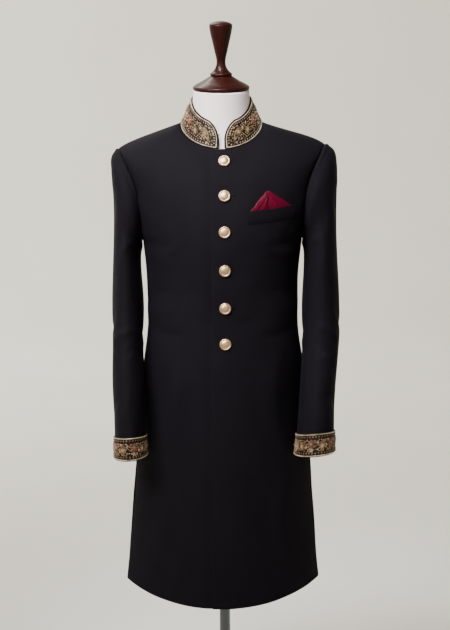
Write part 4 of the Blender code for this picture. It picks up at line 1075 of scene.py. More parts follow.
def collar_outline():
    """The front end and top edge of the left half as one even line of (s, h), with its inward
    unit normals and the lengths along it."""
    h = np.linspace(0, COLLAR_DEEP, 160)
    end = collar_end(h)
    top = np.linspace(end[-1], COLLAR_LENGTH, 320)[1:]
    line = np.concatenate([np.stack([end, h], -1), np.stack([top, 0 * top + COLLAR_DEEP], -1)])
    length = arc_lengths(line)
    even = np.linspace(0, length[-1], 480)
    line = np.stack([np.interp(even, length, line[:, k]) for k in (0, 1)], -1)
    for _ in range(14):
        line[1:-1] = (line[:-2] + 2 * line[1:-1] + line[2:]) / 4
    way = unit(np.gradient(line, axis=0))
    normal = np.stack([way[:, 1], -way[:, 0]], -1)
    return line, normal, even


EDGE, EDGE_NORMAL, EDGE_ARC = collar_outline()
EDGE_LENGTH = EDGE_ARC[-1]


def edge_place(q, inward):
    """(s, h) at q along the collar's free edge and a distance inward from it."""
    base = [np.interp(q, EDGE_ARC, EDGE[:, k]) for k in (0, 1)]
    normal = [np.interp(q, EDGE_ARC, EDGE_NORMAL[:, k]) for k in (0, 1)]
    return base[0] + normal[0] * inward, base[1] + normal[1] * inward


WRIST = {}
for hand in ("left", "right"):
    around = np.linspace(0, 2 * np.pi, 1441)
    ring = sleeve(around, WRIST_ALONG - CUFF_HEIGHT / 2 + 0 * around, hand)
    WRIST[hand] = around, arc_lengths(ring)


def cuff_face(hand):
    """The outer face of a cuff as a function of s metres round it from its front, h metres up
    from its lower edge, and lift."""
    turns, arc = WRIST[hand]

    def face(s, h, lift):
        turn = np.interp(np.mod(s, arc[-1]), arc, turns)
        turn, h, lift = np.broadcast_arrays(turn, h, lift)
        share = np.clip(1 - h / CUFF_HEIGHT, 0, 1)
        along = WRIST_ALONG - np.clip(h, 0, CUFF_HEIGHT)
        normal = sleeve_normal(turn, np.minimum(along, WRIST_ALONG - 0.001), hand)
        off = SEAM_GAP + CUFF_FLARE * share + CUFF_CLOTH + lift
        point = sleeve(turn, along, hand) + normal * off[..., None]
        point[..., 2] -= CUFF_OVERHANG * smooth(share * 4 - 3)
        return point

    return face


# ---------------------------------------------------------------- embroidery, drawn in (s, h)
def rope(face, line, radius, pitch, strand):
    """Two strands twisted round a line of (s, h): each strand runs at radius x (cos, sin) of its
    turn, half a turn apart."""
    length = arc_lengths(line)
    count = max(8, int(length[-1] / pitch * 5))
    even = np.linspace(0, length[-1], count)
    s, h = (np.interp(even, length, line[:, k]) for k in (0, 1))
    ds, dh = np.gradient(s), np.gradient(h)
    size = np.hypot(ds, dh)
    turn = 2 * np.pi * even / pitch + np.array([[0.0], [np.pi]])
    s, h = s - dh / size * radius * np.cos(turn), h + ds / size * radius * np.cos(turn)
    return stitches(face, s, h, strand, strand, 0.0001 + radius * (1 + np.sin(turn)))


def leaf(place, angle, length, width):
    """The two padded halves of a leaf, as lines of 6 points. place is (count, 2)."""
    t = np.linspace(0, 1, 6)
    out = []
    c, s = np.cos(angle)[:, None], np.sin(angle)[:, None]
    x, bow = length[:, None] * t, 0.10 * length[:, None] * np.sin(np.pi * t)
    for half in (-1, 1):
        y = half * width[:, None] * 0.55 * np.sin(np.pi * np.clip(t, 0.04, 0.96)) + bow
        out.append((place[:, :1] + x * c - y * s, place[:, 1:] + x * s + y * c))
    profile = 0.12 + 0.88 * np.sin(np.pi * t ** 0.85) ** 0.8
    s = np.concatenate([out[0][0], out[1][0]])
    h = np.concatenate([out[0][1], out[1][1]])
    wide = np.concatenate([width, width])[:, None] * 0.52 * profile
    return s, h, wide, wide * 0.75


def toward(angle):
    """Unit vectors (cos, sin) at these angles."""
    return np.stack([np.cos(angle), np.sin(angle)], -1)


def alternate(count):
    """1, -1, 1, -1 and so on."""
    return np.where(np.arange(count) % 2 == 0, 1.0, -1.0)


def disc(centres, radii, step):
    """Points on circles of these radii about each centre, step radians apart."""
    turns = np.arange(0, 2 * np.pi, step)
    return np.concatenate([centres + r * way for r in radii for way in toward(turns)])


def petals(place, radius, count, turn, inner=0.22):
    """Round padded petals about a centre, as lines of 5 points."""
    t = np.linspace(0, 1, 5)
    angle = (turn[:, None] + 2 * np.pi * np.arange(count) / count).ravel()
    centre = np.repeat(place, count, 0)
    reach = np.repeat(radius, count)[:, None] * (inner + (1 - inner) * t)
    s = centre[:, :1] + reach * np.cos(angle)[:, None]
    h = centre[:, 1:] + reach * np.sin(angle)[:, None]
    profile = np.array([0.25, 0.62, 0.95, 1.0, 0.45])
    wide = np.repeat(radius, count)[:, None] * (1.8 / count) * profile
    return s, h, wide, 0.0004 + wide * 0.45


def beads(place, radius):
    """Small round beads, as lines of 4 points."""
    offset = np.array([-0.95, -0.38, 0.38, 0.95])
    profile = np.array([0.31, 0.92, 0.92, 0.31])
    radius = np.broadcast_to(radius, (len(place),))[:, None]
    wide = radius * profile
    return place[:, :1] + radius * offset, place[:, 1:] + 0 * radius * offset, wide, wide


def spiral(place, angle, size, hand):
    """A tendril: a line that curls in, radius size x (1 - 0.8 t), through one and a half turns."""
    t = np.linspace(0, 1, 16)
    radius = size * (1 - 0.8 * t)
    turn = angle[:, None] + hand[:, None] * 3 * np.pi * t
    centre = place - size * toward(angle)
    return centre[:, :1] + radius * np.cos(turn), centre[:, 1:] + radius * np.sin(turn)


def teardrop(place, angle, size, bend):
    """A paisley's outline: x = cos t, y = 0.6 sin t sin(t / 2)^1.2, its point bent aside."""
    t = np.linspace(0.06, 2 * np.pi - 0.06, 40)
    x, y = np.cos(t), 0.60 * np.sin(t) * np.sin(t / 2) ** 1.2
    y = y + bend * np.clip(x + 0.2, 0, None) ** 2
    c, s = math.cos(angle), math.sin(angle)
    return np.stack([place[0] + size * (x * c - y * s), place[1] + size * (x * s + y * c)], -1)


BUD_PITCH = 0.0062
BUD_SLANT = 0.0012
LEAF_STEP = 0.0056
LEAF_LENGTHS = (0.0064, 0.0082)
LEAF_WIDTH = 0.28
SPRIG_LENGTHS = (0.0034, 0.0046)
SPRIG_WIDTH = 0.36
STEM_CUTS = 26
TENDRIL = 0.0028
# each round of petals: its threads in turn, share of the flower, count, turn, hollow and lift
FLOWER_ROUNDS = (
    (("gold", "copper", "cream"), 1.0, 8, 0.0, 0.22, 0.0003),
    (("cream", "gold", "copper"), 0.52, 6, 0.4, 0.15, 0.0009),
)
THREADS = {
    "ivory": IVORY, "gold": GOLD, "cream": CREAM, "copper": COPPER, "olive": OLIVE, "bead": BEAD,
}


def bud_row(length):
    """Lengths along an edge of a row of buds, evenly spread, none at its ends."""
    count = round(length / BUD_PITCH)
    return (np.arange(count) + 0.5) * length / count


def buds(face, roots, tips):
    """A row of small padded buds inside the cord, each from its root to its tip."""
    t = np.linspace(0, 1, 6)
    s, h = (np.outer(a, 1 - t) + np.outer(b, t) for a, b in zip(roots, tips))
    wide = np.array([0.00035, 0.00105, 0.00150, 0.00140, 0.00090, 0.00030])
    return stitches(face, s, h, wide, wide * 0.6, 0.0002)


def vine_work(face, start, length, middle, swing, wave, flower, rng, closed=False):
    """A waving stem, h = middle + swing sin(turn), with a flower in each hollow, leaves along it
    and curled tendrils. Gives each thread's groups, and the places that are already covered."""
    work = {name: [] for name in THREADS}
    waves = length / wave
    stem_s = np.linspace(start, start + length, int(waves * STEM_CUTS))
    stem_h = middle + swing * np.sin(2 * np.pi * (stem_s - start) / wave)
    work["gold"].append(stitches(face, stem_s, stem_h, 0.00075, 0.0007, 0.0001))
    k = np.arange(int(round(2 * waves)))
    if not closed and start + (k[-1] + 0.5) * wave / 2 > start + length - flower * 0.2:
        k = k[:-1]
    side = alternate(len(k))
    bloom = np.stack([start + (k + 0.5) * wave / 2, middle - side * swing * 0.42], -1)
    turn = rng.uniform(0, 2, len(k))
    size = flower * rng.uniform(0.94, 1.06, len(k))
    for names, share, count, spin, hollow, lift in FLOWER_ROUNDS:
        for part, name in enumerate(names):
            own = k % 3 == part
            if own.any():
                ring = petals(bloom[own], size[own] * share, count, turn[own] + spin, hollow)
                work[name].append(stitches(face, *ring, lift))
    work["bead"].append(stitches(face, *beads(bloom, 0.0011), 0.0018))

    leaf_s = np.arange(start + LEAF_STEP / 2, start + length - LEAF_STEP / 3, LEAF_STEP)
    leaf_turn = 2 * np.pi * (leaf_s - start) / wave
    place = np.stack([leaf_s, middle + swing * np.sin(leaf_turn)], -1)
    slope = np.arctan(swing * 2 * np.pi / wave * np.cos(leaf_turn))
    angle = slope + alternate(len(leaf_s)) * rng.uniform(0.75, 1.15, len(leaf_s))
    size = rng.uniform(*LEAF_LENGTHS, len(leaf_s))
    tip = place + size[:, None] * toward(angle)
    free = np.linalg.norm(tip[:, None] - bloom[None], axis=-1).min(1) > flower * 0.78
    place, angle, size = place[free], angle[free], size[free]
    kind = np.arange(len(place)) % 5
    for name, own in (("cream", kind < 3), ("olive", kind == 3), ("gold", kind == 4)):
        blade = leaf(place[own], angle[own], size[own], size[own] * LEAF_WIDTH)
        work[name].append(stitches(face, *blade, 0.0002))

    curl = np.stack([bloom[:, 0] + flower * 1.25, middle - side * swing * 1.15], -1)
    s, h = spiral(curl, -0.6 * side, TENDRIL, side)
    work["cream"].append(stitches(face, s, h, 0.00042, 0.0005, 0.0003, sides=4))
    covered = [
        np.stack([stem_s, stem_h], -1)[::2],
        disc(bloom, flower * np.array([0.0, 0.5, 0.85]), 0.52),
        *(place + size[:, None] * t * toward(angle) for t in (0.25, 0.5, 0.75, 1.0)),
        np.stack([s.ravel(), h.ravel()], -1)[::2],
    ]
    return work, covered


def fill_ground(work, face, s_span, h_span, covered, rng, inside, pitch, gap):
    """Adds small sprigs and seed beads over the free ground: a jittered grid, less what lies
    nearer than gap to other stitches. Gives each thread's stitches as one."""
    s, h = np.meshgrid(np.arange(*s_span, pitch), np.arange(*h_span, pitch * 0.8))
    s = s + (np.arange(len(s)) % 2)[:, None] * pitch / 2
    spot = np.stack([s.ravel(), h.ravel()], -1)
    spot = spot + rng.uniform(-0.16, 0.16, spot.shape) * pitch
    spot = spot[inside(spot[:, 0], spot[:, 1])]
    covered = np.concatenate(covered)
    near = np.array([np.hypot(*(covered - p).T).min() for p in spot])
    spot, near = spot[near > gap], near[near > gap]
    kind = rng.integers(0, 10, len(spot))
    angle = rng.uniform(-0.7, 0.7, len(spot)) + np.where(rng.random(len(spot)) < 0.5, 0.8, 2.3)
    size = np.minimum(rng.uniform(*SPRIG_LENGTHS, len(spot)), near * 1.5)
    start = spot - toward(angle) * size[:, None] / 2
    for name, kinds in (("cream", (0, 1, 2, 3, 4)), ("gold", (5, 6)), ("olive", (7,))):
        own = np.isin(kind, kinds)
        sprig = leaf(start[own], angle[own], size[own], size[own] * SPRIG_WIDTH)
        work[name].append(stitches(face, *sprig, 0.0002))
    own = kind > 7
    seeds = beads(spot[own], rng.uniform(0.0008, 0.0011, own.sum()))
    work["bead"].append(stitches(face, *seeds, 0.0002))
    return {name: several(*groups) for name, groups in work.items() if groups}


# the cords lie this far from the edges; each rope has its radius, its pitch and a strand's radius
COLLAR_CORD = 0.0030
COLLAR_CORD_FOOT = 0.0021
COLLAR_ROPE = (0.00052, 0.0030, 0.00068)
COLLAR_VINE_START = 0.049
PAISLEY = (0.0345, 0.0268)
# single leaves about the paisley, each its s, h and turn in degrees: first its tail, then a spray
TAIL_LEAVES = (
    (0.0255, 0.0175, 120.0), (0.0225, 0.0145, 300.0), (0.0275, 0.0205, 330.0),
    (0.0200, 0.0118, 95.0),
)
SPRAY_LEAVES = (
    (0.0180, 0.0260, 70.0), (0.0190, 0.0330, 40.0), (0.0260, 0.0390, 15.0),
    (0.0345, 0.0420, -10.0), (0.0400, 0.0120, 10.0), (0.0330, 0.0110, 200.0),
)
CUFF_CORD = 0.0019
CUFF_ROPE = (0.00046, 0.0028, 0.00058)
CUFF_BUDS = (0.0046, 0.0084)


def collar_embroidery():
    """The collar's left half: a cord border, a row of buds inside it, a paisley at the front
    end, and a flowering vine that runs to the nape."""
    rng = np.random.default_rng(11)
    start, length = COLLAR_VINE_START, COLLAR_LENGTH - COLLAR_VINE_START
    work, covered = vine_work(
        collar_face, start, length, 0.0272, 0.0085, length / 3.5, 0.0096, rng
    )
    above_foot = edge_place(EDGE_ARC, COLLAR_CORD)[1] > COLLAR_CORD_FOOT
    q = EDGE_ARC[above_foot & (EDGE_ARC < EDGE_LENGTH)]
    border = np.stack(edge_place(q, COLLAR_CORD), -1)
    foot_s = np.linspace(border[0, 0], COLLAR_LENGTH, 300)
    for line in (border, np.stack([foot_s, 0 * foot_s + COLLAR_CORD_FOOT], -1)):
        work["ivory"].append(rope(collar_face, line, *COLLAR_ROPE))

    first = q[0] + 0.0045
    row = first + bud_row(EDGE_LENGTH - first)
    tips = edge_place(row + BUD_SLANT, 0.0096)
    work["cream"].append(buds(collar_face, edge_place(row, 0.0058), tips))
    first = border[0, 0] + 0.0055
    row = first + bud_row(COLLAR_LENGTH - first)
    foot_tips = row + BUD_SLANT, 0 * row + 0.0086
    work["cream"].append(buds(collar_face, (row, 0 * row + 0.0048), foot_tips))
    covered += [np.stack(tips, -1), np.stack([row, 0 * row + 0.0080], -1)]

    for name, size, thick, bend in (
        ("gold", 0.0152, 0.0010, 0.34), ("cream", 0.0124, 0.0007, 0.32)
    ):
        line = teardrop(PAISLEY, math.radians(214), size, bend)
        work[name].append(stitches(collar_face, *line.T, thick, thick * 1.1, 0.0004))
        covered.append(line)
    heart = np.array([PAISLEY]) + (0.0036, 0.0018)
    for name, radius, count, lift in (("gold", 0.0078, 9, 0.0004), ("cream", 0.0044, 6, 0.0010)):
        ring = petals(heart, np.array([radius]), count, np.array([0.3]))
        work[name].append(stitches(collar_face, *ring, lift))
    work["bead"].append(stitches(collar_face, *beads(heart, 0.0010), 0.0018))
    covered.append(disc(heart, (0, 0.0025, 0.0045), 0.5))

    for name, leaves, long, wide in (
        ("olive", TAIL_LEAVES, 0.0062, 0.0016), ("cream", SPRAY_LEAVES, 0.0072, 0.0018)
    ):
        rows = np.array(leaves)
        each = np.ones(len(rows))
        blade = leaf(rows[:, :2], np.radians(rows[:, 2]), long * each, wide * each)
        work[name].append(stitches(collar_face, *blade, 0.0003))
        covered.append(rows[:, :2])
    covered.append(np.stack([blade[0].ravel(), blade[1].ravel()], -1))

    def inside(s, h):
        clear = s > collar_end(h + 0.006) + 0.0105
        return clear & (h > 0.0100) & (h < COLLAR_DEEP - 0.0110)

    return fill_ground(
        work, collar_face, (0.012, COLLAR_LENGTH), (0.008, 0.047), covered, rng, inside,
        pitch=0.0052, gap=0.0027,
    )


def cuff_embroidery(hand):
    """One cuff: cord borders, a row of buds inside each and a vine round its middle."""
    rng = np.random.default_rng(7)
    face, around = cuff_face(hand), WRIST[hand][1][-1]
    work, covered = vine_work(
        face, 0.0, around, 0.0218, 0.0060, around / 7, 0.0082, rng, closed=True
    )
    edge = np.linspace(0.0002, around - 0.0002, 420)
    for h in (CUFF_CORD, CUFF_HEIGHT - CUFF_CORD):
        work["ivory"].append(rope(face, np.stack([edge, 0 * edge + h], -1), *CUFF_ROPE))
    row = bud_row(around)
    for root, tip in (CUFF_BUDS, [CUFF_HEIGHT - h for h in CUFF_BUDS]):
        work["gold"].append(buds(face, (row, 0 * row + root), (row + BUD_SLANT, 0 * row + tip)))
        covered.append(np.stack([row, 0 * row + tip], -1))
    return fill_ground(
        work, face, (0.0, around), (0.0100, CUFF_HEIGHT - 0.0098), covered, rng,
        lambda s, h: (s > 0.001) & (s < around - 0.001), pitch=0.0044, gap=0.0022,
    )


# ---------------------------------------------------------------- collar and cuffs
def collar_shell():
    """The collar's dark silk band, from front end to front end round the nape."""
    start = math.asin(COLLAR_END_X / NECK_HALF_WIDTH)
    half = start + (np.pi - start) * (1 - np.cos(np.pi / 2 * np.linspace(0, 1, 90)))
    half = 0.4 * half + 0.6 * np.linspace(start, np.pi, 90)
    h = np.concatenate(
        [[0, 0.0006, 0.0016], np.linspace(0.0035, 0.0515, 22), [0.0534, 0.0544, COLLAR_DEEP]]
    )
    ends = np.interp(collar_end(h), COLLAR_ARC, TURNS)
    fade = (1 - (half - start) / (np.pi - start)) ** 6
    turns = half[None, :] + (ends - start)[:, None] * fade[None, :]
    turns = np.concatenate([turns, 2 * np.pi - turns[:, -2::-1]], 1)
    level = np.broadcast_to((h / COLLAR_DEEP)[:, None], turns.shape)
    outer = collar(turns, level)
    normal = collar_normal(turns, level)
    sag = 0.00025 * np.sin(9 * turns) * smooth(level * 2)
    outer = outer + normal * sag[..., None]
    inner = outer - normal * 0.0020
    outer[0] += unit(outer[1] - outer[0]) * SEAM_GAP / 2
    uv = np.stack([turns * 0.075, level * COLLAR_DEEP], -1)
    return shell("collar_band", settle(outer), settle(inner), uv, GROUND, "zari_band")


collar_band = collar_shell()
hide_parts("collar")
collar_threads = []
for name, group in collar_embroidery().items():
    points, faces = several(group, mirror(group))
    collar_threads.append(
        make_piece(f"collar_{name}_work", settle(points), faces, THREADS[name], "zari_band")
    )

q = np.linspace(0.0004, EDGE_LENGTH, 330)
edge_s, edge_h = edge_place(q, -0.0002)
edge_points = stitches(collar_face, edge_s, edge_h, 0.00145, 0.00145, -0.0011, sides=8)
points, faces = several(edge_points, mirror(edge_points))
collar_threads.append(make_piece("collar_piping", settle(points), faces, PIPING, "black_wool"))

cuffs, cuff_threads = {}, {}
for hand in ("left", "right"):
    face = cuff_face(hand)
    arc = WRIST[hand][1]
    s, h = np.meshgrid(
        np.linspace(0, arc[-1], 150, endpoint=False),
        np.concatenate(
            [[0, 0.0005, 0.0014], np.linspace(0.004, 0.040, 14), [0.0426, 0.0435, CUFF_HEIGHT]]
        ),
    )
    side = np.array([-1.0 if hand == "right" else 1.0, 1.0, 1.0])
    outer, inner = (settle(face(s, h, lift) * side) for lift in (-0.0001, -CUFF_CLOTH + 0.0002))
    uv = np.stack([s, h], -1)
    cuffs[hand] = shell(f"cuff_{hand}_band", outer, inner, uv, GROUND, "zari_band", ring=True)
    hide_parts(f"cuff_{hand}")
    cuff_threads[hand] = []
    for name, (points, faces) in cuff_embroidery(hand).items():
        sewn, title = settle(points * side), f"cuff_{hand}_{name}_work"
        cuff_threads[hand].append(make_piece(title, sewn, faces, THREADS[name], "zari_band"))


# ---------------------------------------------------------------- pocket, square and buttons
WELT_CLOTH = 0.0016
WELT_MOUTH = 0.0017
SQUARE_BASE = (0.0590, 0.1470)
SQUARE_TIP = ((0.0940, 1.3727), (0.1000, 1.3718))
SQUARE_TUCK = 0.006
SQUARE_CLOTH = 0.0010
SQUARE_PUFF = 0.0022


def front_place(x, z, height):
    """Points at x and z over the wearer's left front, height off its cloth with its relief."""
    u, v = panel_place(x, z)
    off = np.asarray(height) + front_relief(x, z)
    return body("front", u, v) + body_normal("front", u, v) * off[..., None]


def on_front(x, z, height):
    return settle(front_place(x, z, height), skirt=True)


def welt_piece():
    """The welt: up to its fold it stands off the front by a straight rise, rounded at the top."""
    rise = math.radians(WELT_RISE_DEG)
    along = edge_lines(0, WELT_LENGTH, 0.0045)[None, :]
    up = edge_lines(0, WELT_HEIGHT, 0.0040)[:, None]
    x = WELT_LOW_INNER[0] + along * math.cos(rise) + 0 * up
    z = WELT_LOW_INNER[1] + along * math.sin(rise) + up
    foot = SEAM_GAP + WELT_MOUTH * (up / WELT_HEIGHT) + 0 * along
    ends = np.minimum(along, WELT_LENGTH - along)
    stitch = -0.0004 * np.exp(-(((ends - 0.0022) / 0.0008) ** 2)) * smooth(up / 0.004)
    body_of_it = WELT_CLOTH * (0.30 + 0.70 * smooth(up / 0.008))
    face = foot + body_of_it + stitch + 0.0003 * np.sin(along * 60) * (up / WELT_HEIGHT)
    uv = np.stack([along + 0 * up, up + 0 * along], -1)
    outer, inner = on_front(x, z, face), on_front(x, z, foot)
    return shell("pocket_welt_cloth", outer, inner, uv, SUITING, "black_wool")


def square_height(across, climb):
    """How far the silk stands off: a puff that dies away at the edges, a fold laid over from the
    left up to the tip, a hollow beside it, two softer folds and the silk's own small waves."""
    inside = np.sin(np.pi * across) ** 0.6 * np.sin(np.pi * np.clip(climb, 0, 0.94)) ** 0.5
    puff = SQUARE_PUFF * inside
    laid = smooth((across - 0.38 + 0.06 * climb) / 0.09)
    hollow = np.exp(-(((across - 0.47 + 0.03 * climb) / 0.045) ** 2))
    second = np.exp(-(((across - 0.74 + 0.20 * climb) / 0.040) ** 2))
    third = np.exp(-(((across - 0.20 - 0.16 * climb) / 0.035) ** 2))
    waves = np.sin(31 * across + 5 * climb) * np.sin(4 * across - 13 * climb)
    edge = smooth(inside * 3)
    return puff * (1 - 0.40 * laid) + edge * (
        0.0008 * (1 - laid) - 0.0005 * hollow + 0.0010 * second - 0.0007 * third + 0.0002 * waves
    )


def square_places(across, up):
    """x and z of the folded square: a blunt triangle over the pocket's mouth."""
    rise = math.tan(math.radians(WELT_RISE_DEG))
    base_x = SQUARE_BASE[0] + (SQUARE_BASE[1] - SQUARE_BASE[0]) * across
    mouth_z = WELT_LOW_INNER[1] + WELT_HEIGHT + (base_x - WELT_LOW_INNER[0]) * rise
    tip_x = SQUARE_TIP[0][0] + (SQUARE_TIP[1][0] - SQUARE_TIP[0][0]) * across
    tip_z = SQUARE_TIP[0][1] + (SQUARE_TIP[1][1] - SQUARE_TIP[0][1]) * across
    climb = np.clip(up, 0, 1)
    sway = 0.0009 * np.sin(9 * climb + 5 * across) * np.sin(np.pi * climb)
    x = base_x + (tip_x - base_x) * climb + sway
    return x, mouth_z + (tip_z - mouth_z) * climb + SQUARE_TUCK * np.clip(up, -1, 0)


def square_piece():
    across = np.linspace(0, 1, 49)[None, :] + np.zeros((40, 1))
    up = np.concatenate([[-1.0, -0.5], np.linspace(0, 1, 38)])[:, None] + 0 * across
    x, z = square_places(across, up)
    climb = np.clip(up, 0, 1)
    inner = on_front(x, z, SEAM_GAP + 0 * x)
    outer = on_front(x, z, SEAM_GAP + SQUARE_CLOTH + square_height(across, climb))
    uv = np.stack([x, z], -1)
    return shell("pocket_square_silk", outer, inner, uv, SILK, "wine_silk")


def square_hems():
    """The hand-rolled hems along both folded sides and over the tip."""
    up = np.linspace(0.0, 1.0, 40)
    across = np.concatenate([0 * up, np.linspace(0, 1, 7)[1:-1], 1 + 0 * up])
    up = np.concatenate([up, np.ones(5), up[::-1]])
    x, z = square_places(across, up)
    roll = 0.00085 + 0.00008 * np.sin(np.arange(len(x)) * 1.9)
    return stitches(on_front, x, z, roll, roll, 0.0010, sides=8)


welt = welt_piece()
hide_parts("pocket_welt")
square = square_piece()
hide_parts("pocket_square")
square_hem = make_piece("pocket_square_hem", *square_hems(), SILK, "wine_silk")


def button_relief(radius, turn):
    """A milled line of 26 notches in the groove and 12 faint rays on the dome."""
    notch = 0.00012 * np.exp(-(((radius - 0.0090) / 0.0007) ** 2)) * np.cos(26 * turn)
    on_dome = smooth((radius - 0.0012) / 0.0016) * smooth((0.0070 - radius) / 0.0016)
    return notch + 0.00003 * np.cos(12 * turn) * on_dome


BUTTON_PROFILE = [
    (0.0, 0.0057), (0.0015, 0.00568), (0.0034, 0.0055), (0.0052, 0.0051), (0.0066, 0.0046),
    (0.0078, 0.0039), (0.0086, 0.0033), (0.0091, 0.0032), (0.0096, 0.0035), (0.0103, 0.0038),
    (0.0111, 0.0037), (0.0117, 0.0032), (0.0121, 0.0025), (BUTTON_RADIUS, 0.0017),
    (0.0121, 0.0008), (0.0112, 0.0), (0.0, 0.0),
]
BUTTON_SEAT = 0.0118
BUTTONHOLE = (-0.003, 0.0235)
BUTTONHOLE_LIP = 0.0008
thread_places = []
for count, height in enumerate(BUTTON_HEIGHTS, 1):
    normal = body_normal("front", *panel_place(BUTTON_X, height))
    turns = np.linspace(0, 2 * np.pi, 25)
    centre = front_place(np.array(BUTTON_X), np.array(height), 0.0)
    seat_x, seat_z = BUTTON_SEAT * toward(turns).T + [[BUTTON_X], [height]]
    lift = max(0.0, ((front_place(seat_x, seat_z, 0.0) - centre) @ normal).max()) + SEAM_GAP
    axis = Vector(normal)
    aim = axis.to_track_quat("Z", "Y").to_matrix().to_4x4()
    spin = Matrix.Rotation(0.4 * count, 4, "Z")
    place = Matrix.Translation(Vector(centre) + axis * lift) @ aim @ spin
    button = turned_piece(
        f"button_{count}_metal", BUTTON_PROFILE, 104, place, PLATE, "rose_gold", 3, button_relief
    )
    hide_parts(f"button_{count}")
    reach = BUTTON_X + np.linspace(*BUTTONHOLE, 40)
    for lip in (-BUTTONHOLE_LIP, BUTTONHOLE_LIP):
        thread_places.append((reach, height + lip + 0 * reach))
hole_x, hole_z = np.array(thread_places).transpose(1, 0, 2)
points, faces = stitches(on_front, hole_x, hole_z, 0.0007, 0.0004)
buttonholes = make_piece("buttonhole_silk", points, faces, PIPING, "black_wool")

# ---------------------------------------------------------------- dress form and stand
FORM_EASE = 0.0070
FORM_EASE_SHOULDER = 0.0030
FORM_NARROWS_ALONG = 0.94
# half width, side z, then front and back, each y and z
NECK_RINGS = (
    (0.0745, 1.527, (-0.0700, 1.480), (0.0620, 1.540)),
    (0.0655, 1.545, (-0.0640, 1.505), (0.0575, 1.556)),
    (0.0618, 1.562, (-0.0622, 1.535), (0.0565, 1.572)),
)
NECK_LEVELS = (0.0, 0.24, 0.50, 0.76, 1.0)
# height and share of the torso's lowest ring, for the rings that close it from below
UNDERSIDE = (
    (0.8200, 0.0), (0.8200, 0.05), (0.8200, 0.55), (0.8202, 0.90), (0.8235, 0.955),
    (0.8330, 0.985), (0.850, 0.998),
)
NECK_COLUMNS = 128
NECK_ROWS = 44


def neck_face(turn, level):
    """The form's neck: a cubic spline from the neckline (level 0) through its rings to the cap
    (level 1), at the same turn round each ring."""
    tilt = math.radians(CAP_TILT_DEG)
    out, front = np.sin(turn), -np.cos(turn)
    radial = np.stack([out, front * math.cos(tilt), front * math.sin(tilt)], -1)
    foot = (
        NECK_HALF_WIDTH - 0.0052, NECK_SIDE_Z - 0.0030,
        (NECK_FRONT[0] + 0.0060, NECK_FRONT[1] - 0.004),
        (NECK_BACK[0] - 0.0056, NECK_BACK[1] - 0.004),
    )
    rings = [collar_edge(turn, *row) for row in (foot, *NECK_RINGS)]
    rings.append(np.array(CAP_CENTRE) + radial * NECK_RADIUS)
    weights = spline_weights(NECK_LEVELS, level, False)[..., :-1]
    return np.einsum("...k,...kc->...c", weights, np.stack(rings, -2))


def form_face(side, u, v):
    """The torso: the coat's face drawn in by the ease, which narrows towards the shoulder."""
    normal = body_normal(side, np.minimum(u, 0.995), np.minimum(v, TOP_ALONG - 0.002))
    near = smooth((v - FORM_NARROWS_ALONG) / (TOP_ALONG - FORM_NARROWS_ALONG))
    narrower = (FORM_EASE_SHOULDER - FORM_EASE) * near * (np.abs(u) > NECK_SHARE)
    ease = FORM_EASE + narrower
    point = body(side, u, v) - normal * ease[..., None]
    point[..., 0] *= 1 - 0.012 * smooth((np.abs(u) - 0.9) / 0.1)
    return point


def form_pieces():
    """The torso, then the neck as its own jersey tube. The torso's rings go front to back on one
    side and back again on the other, and an inward curve closes them at the bottom."""
    rows = np.concatenate([np.linspace(0.40, 0.98, 60), np.linspace(0.985, TOP_ALONG - 0.0006, 8)])
    columns = np.sin(np.linspace(0, np.pi / 2, 34))
    u, v = np.meshgrid(columns, rows)
    front, back = form_face("front", u, v), form_face("back", u, v)
    half = np.concatenate([front, back[:, ::-1]], 1)
    low = half[0]
    under = [low * (scale, scale, 0.0) + (0.0, 0.0, height) for height, scale in UNDERSIDE]
    keep = half[:, :, 2].min(1) > 0.862
    inside_neck = 0 * low + (0.0, -0.005, 1.440)
    half = np.concatenate([np.array(under), half[keep], inside_neck[None]])
    loops = np.concatenate([half, half[:, -2:0:-1] * (-1.0, 1.0, 1.0)], 1)
    torso = settle(loops, skirt=True)
    turns = np.linspace(0, 2 * np.pi, NECK_COLUMNS, endpoint=False)
    turn, level = np.meshgrid(turns, np.linspace(0, 1, NECK_ROWS))
    turn, level = (np.pad(grid, ((1, 1), (0, 0)), mode="edge") for grid in (turn, level))
    neck = neck_face(turn, level)
    neck[0], neck[-1] = (0.0, -0.005, 1.470), CAP_CENTRE
    for name, points, uv in (
        ("form_torso_jersey", torso, torso[..., ::2]),
        ("form_neck_jersey", neck, np.stack([turn * 0.062, level * 0.11], -1)),
    ):
        faces = faces_of_grid(*points.shape[:2], True)
        yield merge_poles(make_piece(name, points, faces, JERSEY, "white_jersey", uv))


torso, neck = form_pieces()
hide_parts("form_torso")

